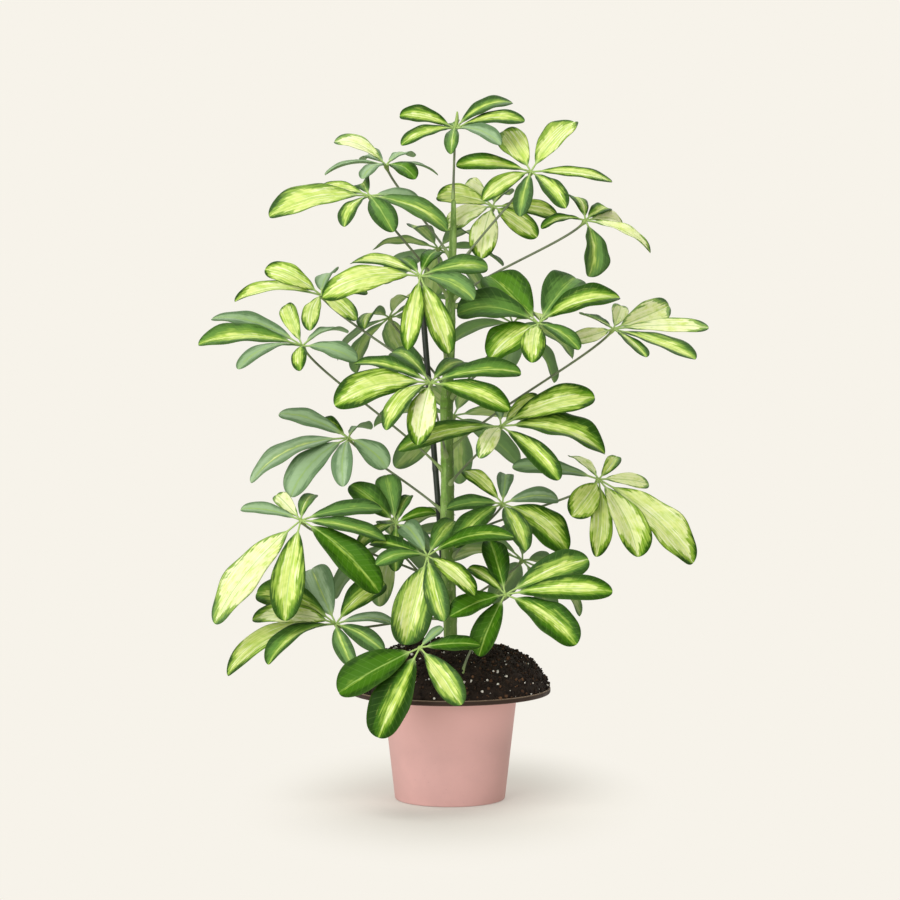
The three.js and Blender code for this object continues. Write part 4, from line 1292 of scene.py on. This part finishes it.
class UMBRELLA_OT_stage(bpy.types.Operator):
    """Sets the floor, the light and the camera"""

    bl_idname = "umbrella_plant.stage"
    bl_label = "Stage"

    def execute(self, context):
        given, scene = context.scene.umbrella_stage, context.scene
        backdrop = tuple(given.backdrop)
        far = FLOOR_REACH
        corners = [(-far, -far, 0), (far, -far, 0), (far, far, 0), (-far, far, 0)]
        floor = new_piece("floor", corners, [(0, 1, 2, 3)])
        floor.location.z = -FLOOR_DROP
        floor.data.materials.append(self.floor_finish(backdrop))

        scene.world = bpy.data.worlds.new("studio_air")
        scene.world.use_nodes = True
        air = Board(scene.world.node_tree)
        seen = air.node("ShaderNodeLightPath")("Is Camera Ray")
        level = air.ease(seen, 0.0, 1.0, AIR_LIGHT, 1.0)
        sky = air.node("ShaderNodeBackground", {"Color": backdrop, "Strength": level})()
        air.node("ShaderNodeOutputWorld", {"Surface": sky})

        for name, aim, strength, spread in LAMPS:
            light = bpy.data.lights.new(name, "SUN")
            light.energy, light.angle = strength, math.radians(spread)
            self.aimed(name, light, Vector(aim))

        camera = bpy.data.cameras.new("camera")
        camera.lens, camera.sensor_width, camera.clip_end = given.lens, 36.0, 50.0
        back = Vector((0, -math.cos(given.elevation), math.sin(given.elevation)))
        scene.camera = self.aimed("camera", camera, -back)
        scene.camera.location = Vector((0, 0, AIM_HEIGHT)) + back * given.distance
        scene.view_settings.view_transform = "Standard"
        scene.view_settings.look = "None"
        return {"FINISHED"}

    @staticmethod
    def aimed(name, data, aim):
        """A lamp or camera that looks the way aim says."""
        made = bpy.data.objects.new(name, data)
        made.rotation_euler = aim.to_track_quat("-Z", "Y").to_euler()
        bpy.context.scene.collection.objects.link(made)
        return made

    @staticmethod
    def floor_finish(backdrop):
        """Takes the plant's shadow near the pot, and is as plain as the air farther off."""
        made = Finish("plain_floor", backdrop)
        x, y, _ = made.parts(made.place)
        away = made.math("SQRT", x * x * 2.0 + y * y * 0.72)
        albedo = tuple(FLOOR_ALBEDO * c for c in backdrop)
        lit = made.node("ShaderNodeBsdfDiffuse", {"Color": albedo})()
        glow, plain = (
            made.node("ShaderNodeEmission", {"Color": backdrop, "Strength": strength})()
            for strength in (FLOOR_GLOW, 1.0)
        )
        near = made.node("ShaderNodeAddShader", {0: lit, 1: glow})()
        share = made.ease(away, *FLOOR_PLAIN)
        made.close(made.node("ShaderNodeMixShader", {0: share, 1: near, 2: plain})())
        return made.material


class UMBRELLA_PT_sidebar(bpy.types.Panel):
    """Lists the plant's pieces and their sizes"""

    bl_label = "Umbrella plant"
    bl_idname = "UMBRELLA_PT_sidebar"
    bl_space_type = "VIEW_3D"
    bl_region_type = "UI"
    bl_category = "Umbrella plant"

    def draw(self, context):
        for name, group, operator in SECTIONS:
            box = self.layout.box()
            for setting in group.__annotations__:
                box.prop(getattr(context.scene, name), setting)
            box.operator(operator.bl_idname)


SECTIONS = (
    # the scene's name for the settings, the settings, and the operator that reads them
    ("umbrella_pot", PotSettings, UMBRELLA_OT_pots),
    ("umbrella_compost", CompostSettings, UMBRELLA_OT_compost),
    ("umbrella_stem", StemSettings, UMBRELLA_OT_stem),
    ("umbrella_leaf", LeafSettings, UMBRELLA_OT_leaves),
    ("umbrella_stage", StageSettings, UMBRELLA_OT_stage),
)


def register():
    for name, group, operator in SECTIONS:
        bpy.utils.register_class(group)
        setattr(bpy.types.Scene, name, PointerProperty(type=group))
        bpy.utils.register_class(operator)
    bpy.utils.register_class(UMBRELLA_PT_sidebar)


def unregister():
    bpy.utils.unregister_class(UMBRELLA_PT_sidebar)
    for name, group, operator in reversed(SECTIONS):
        bpy.utils.unregister_class(operator)
        delattr(bpy.types.Scene, name)
        bpy.utils.unregister_class(group)


def main():
    register()
    bpy.ops.umbrella_plant.stage()
    bpy.ops.umbrella_plant.pots()
    bpy.ops.umbrella_plant.compost()
    bpy.ops.umbrella_plant.stem()
    bpy.ops.umbrella_plant.leaves()


if __name__ == "__main__":
    main()
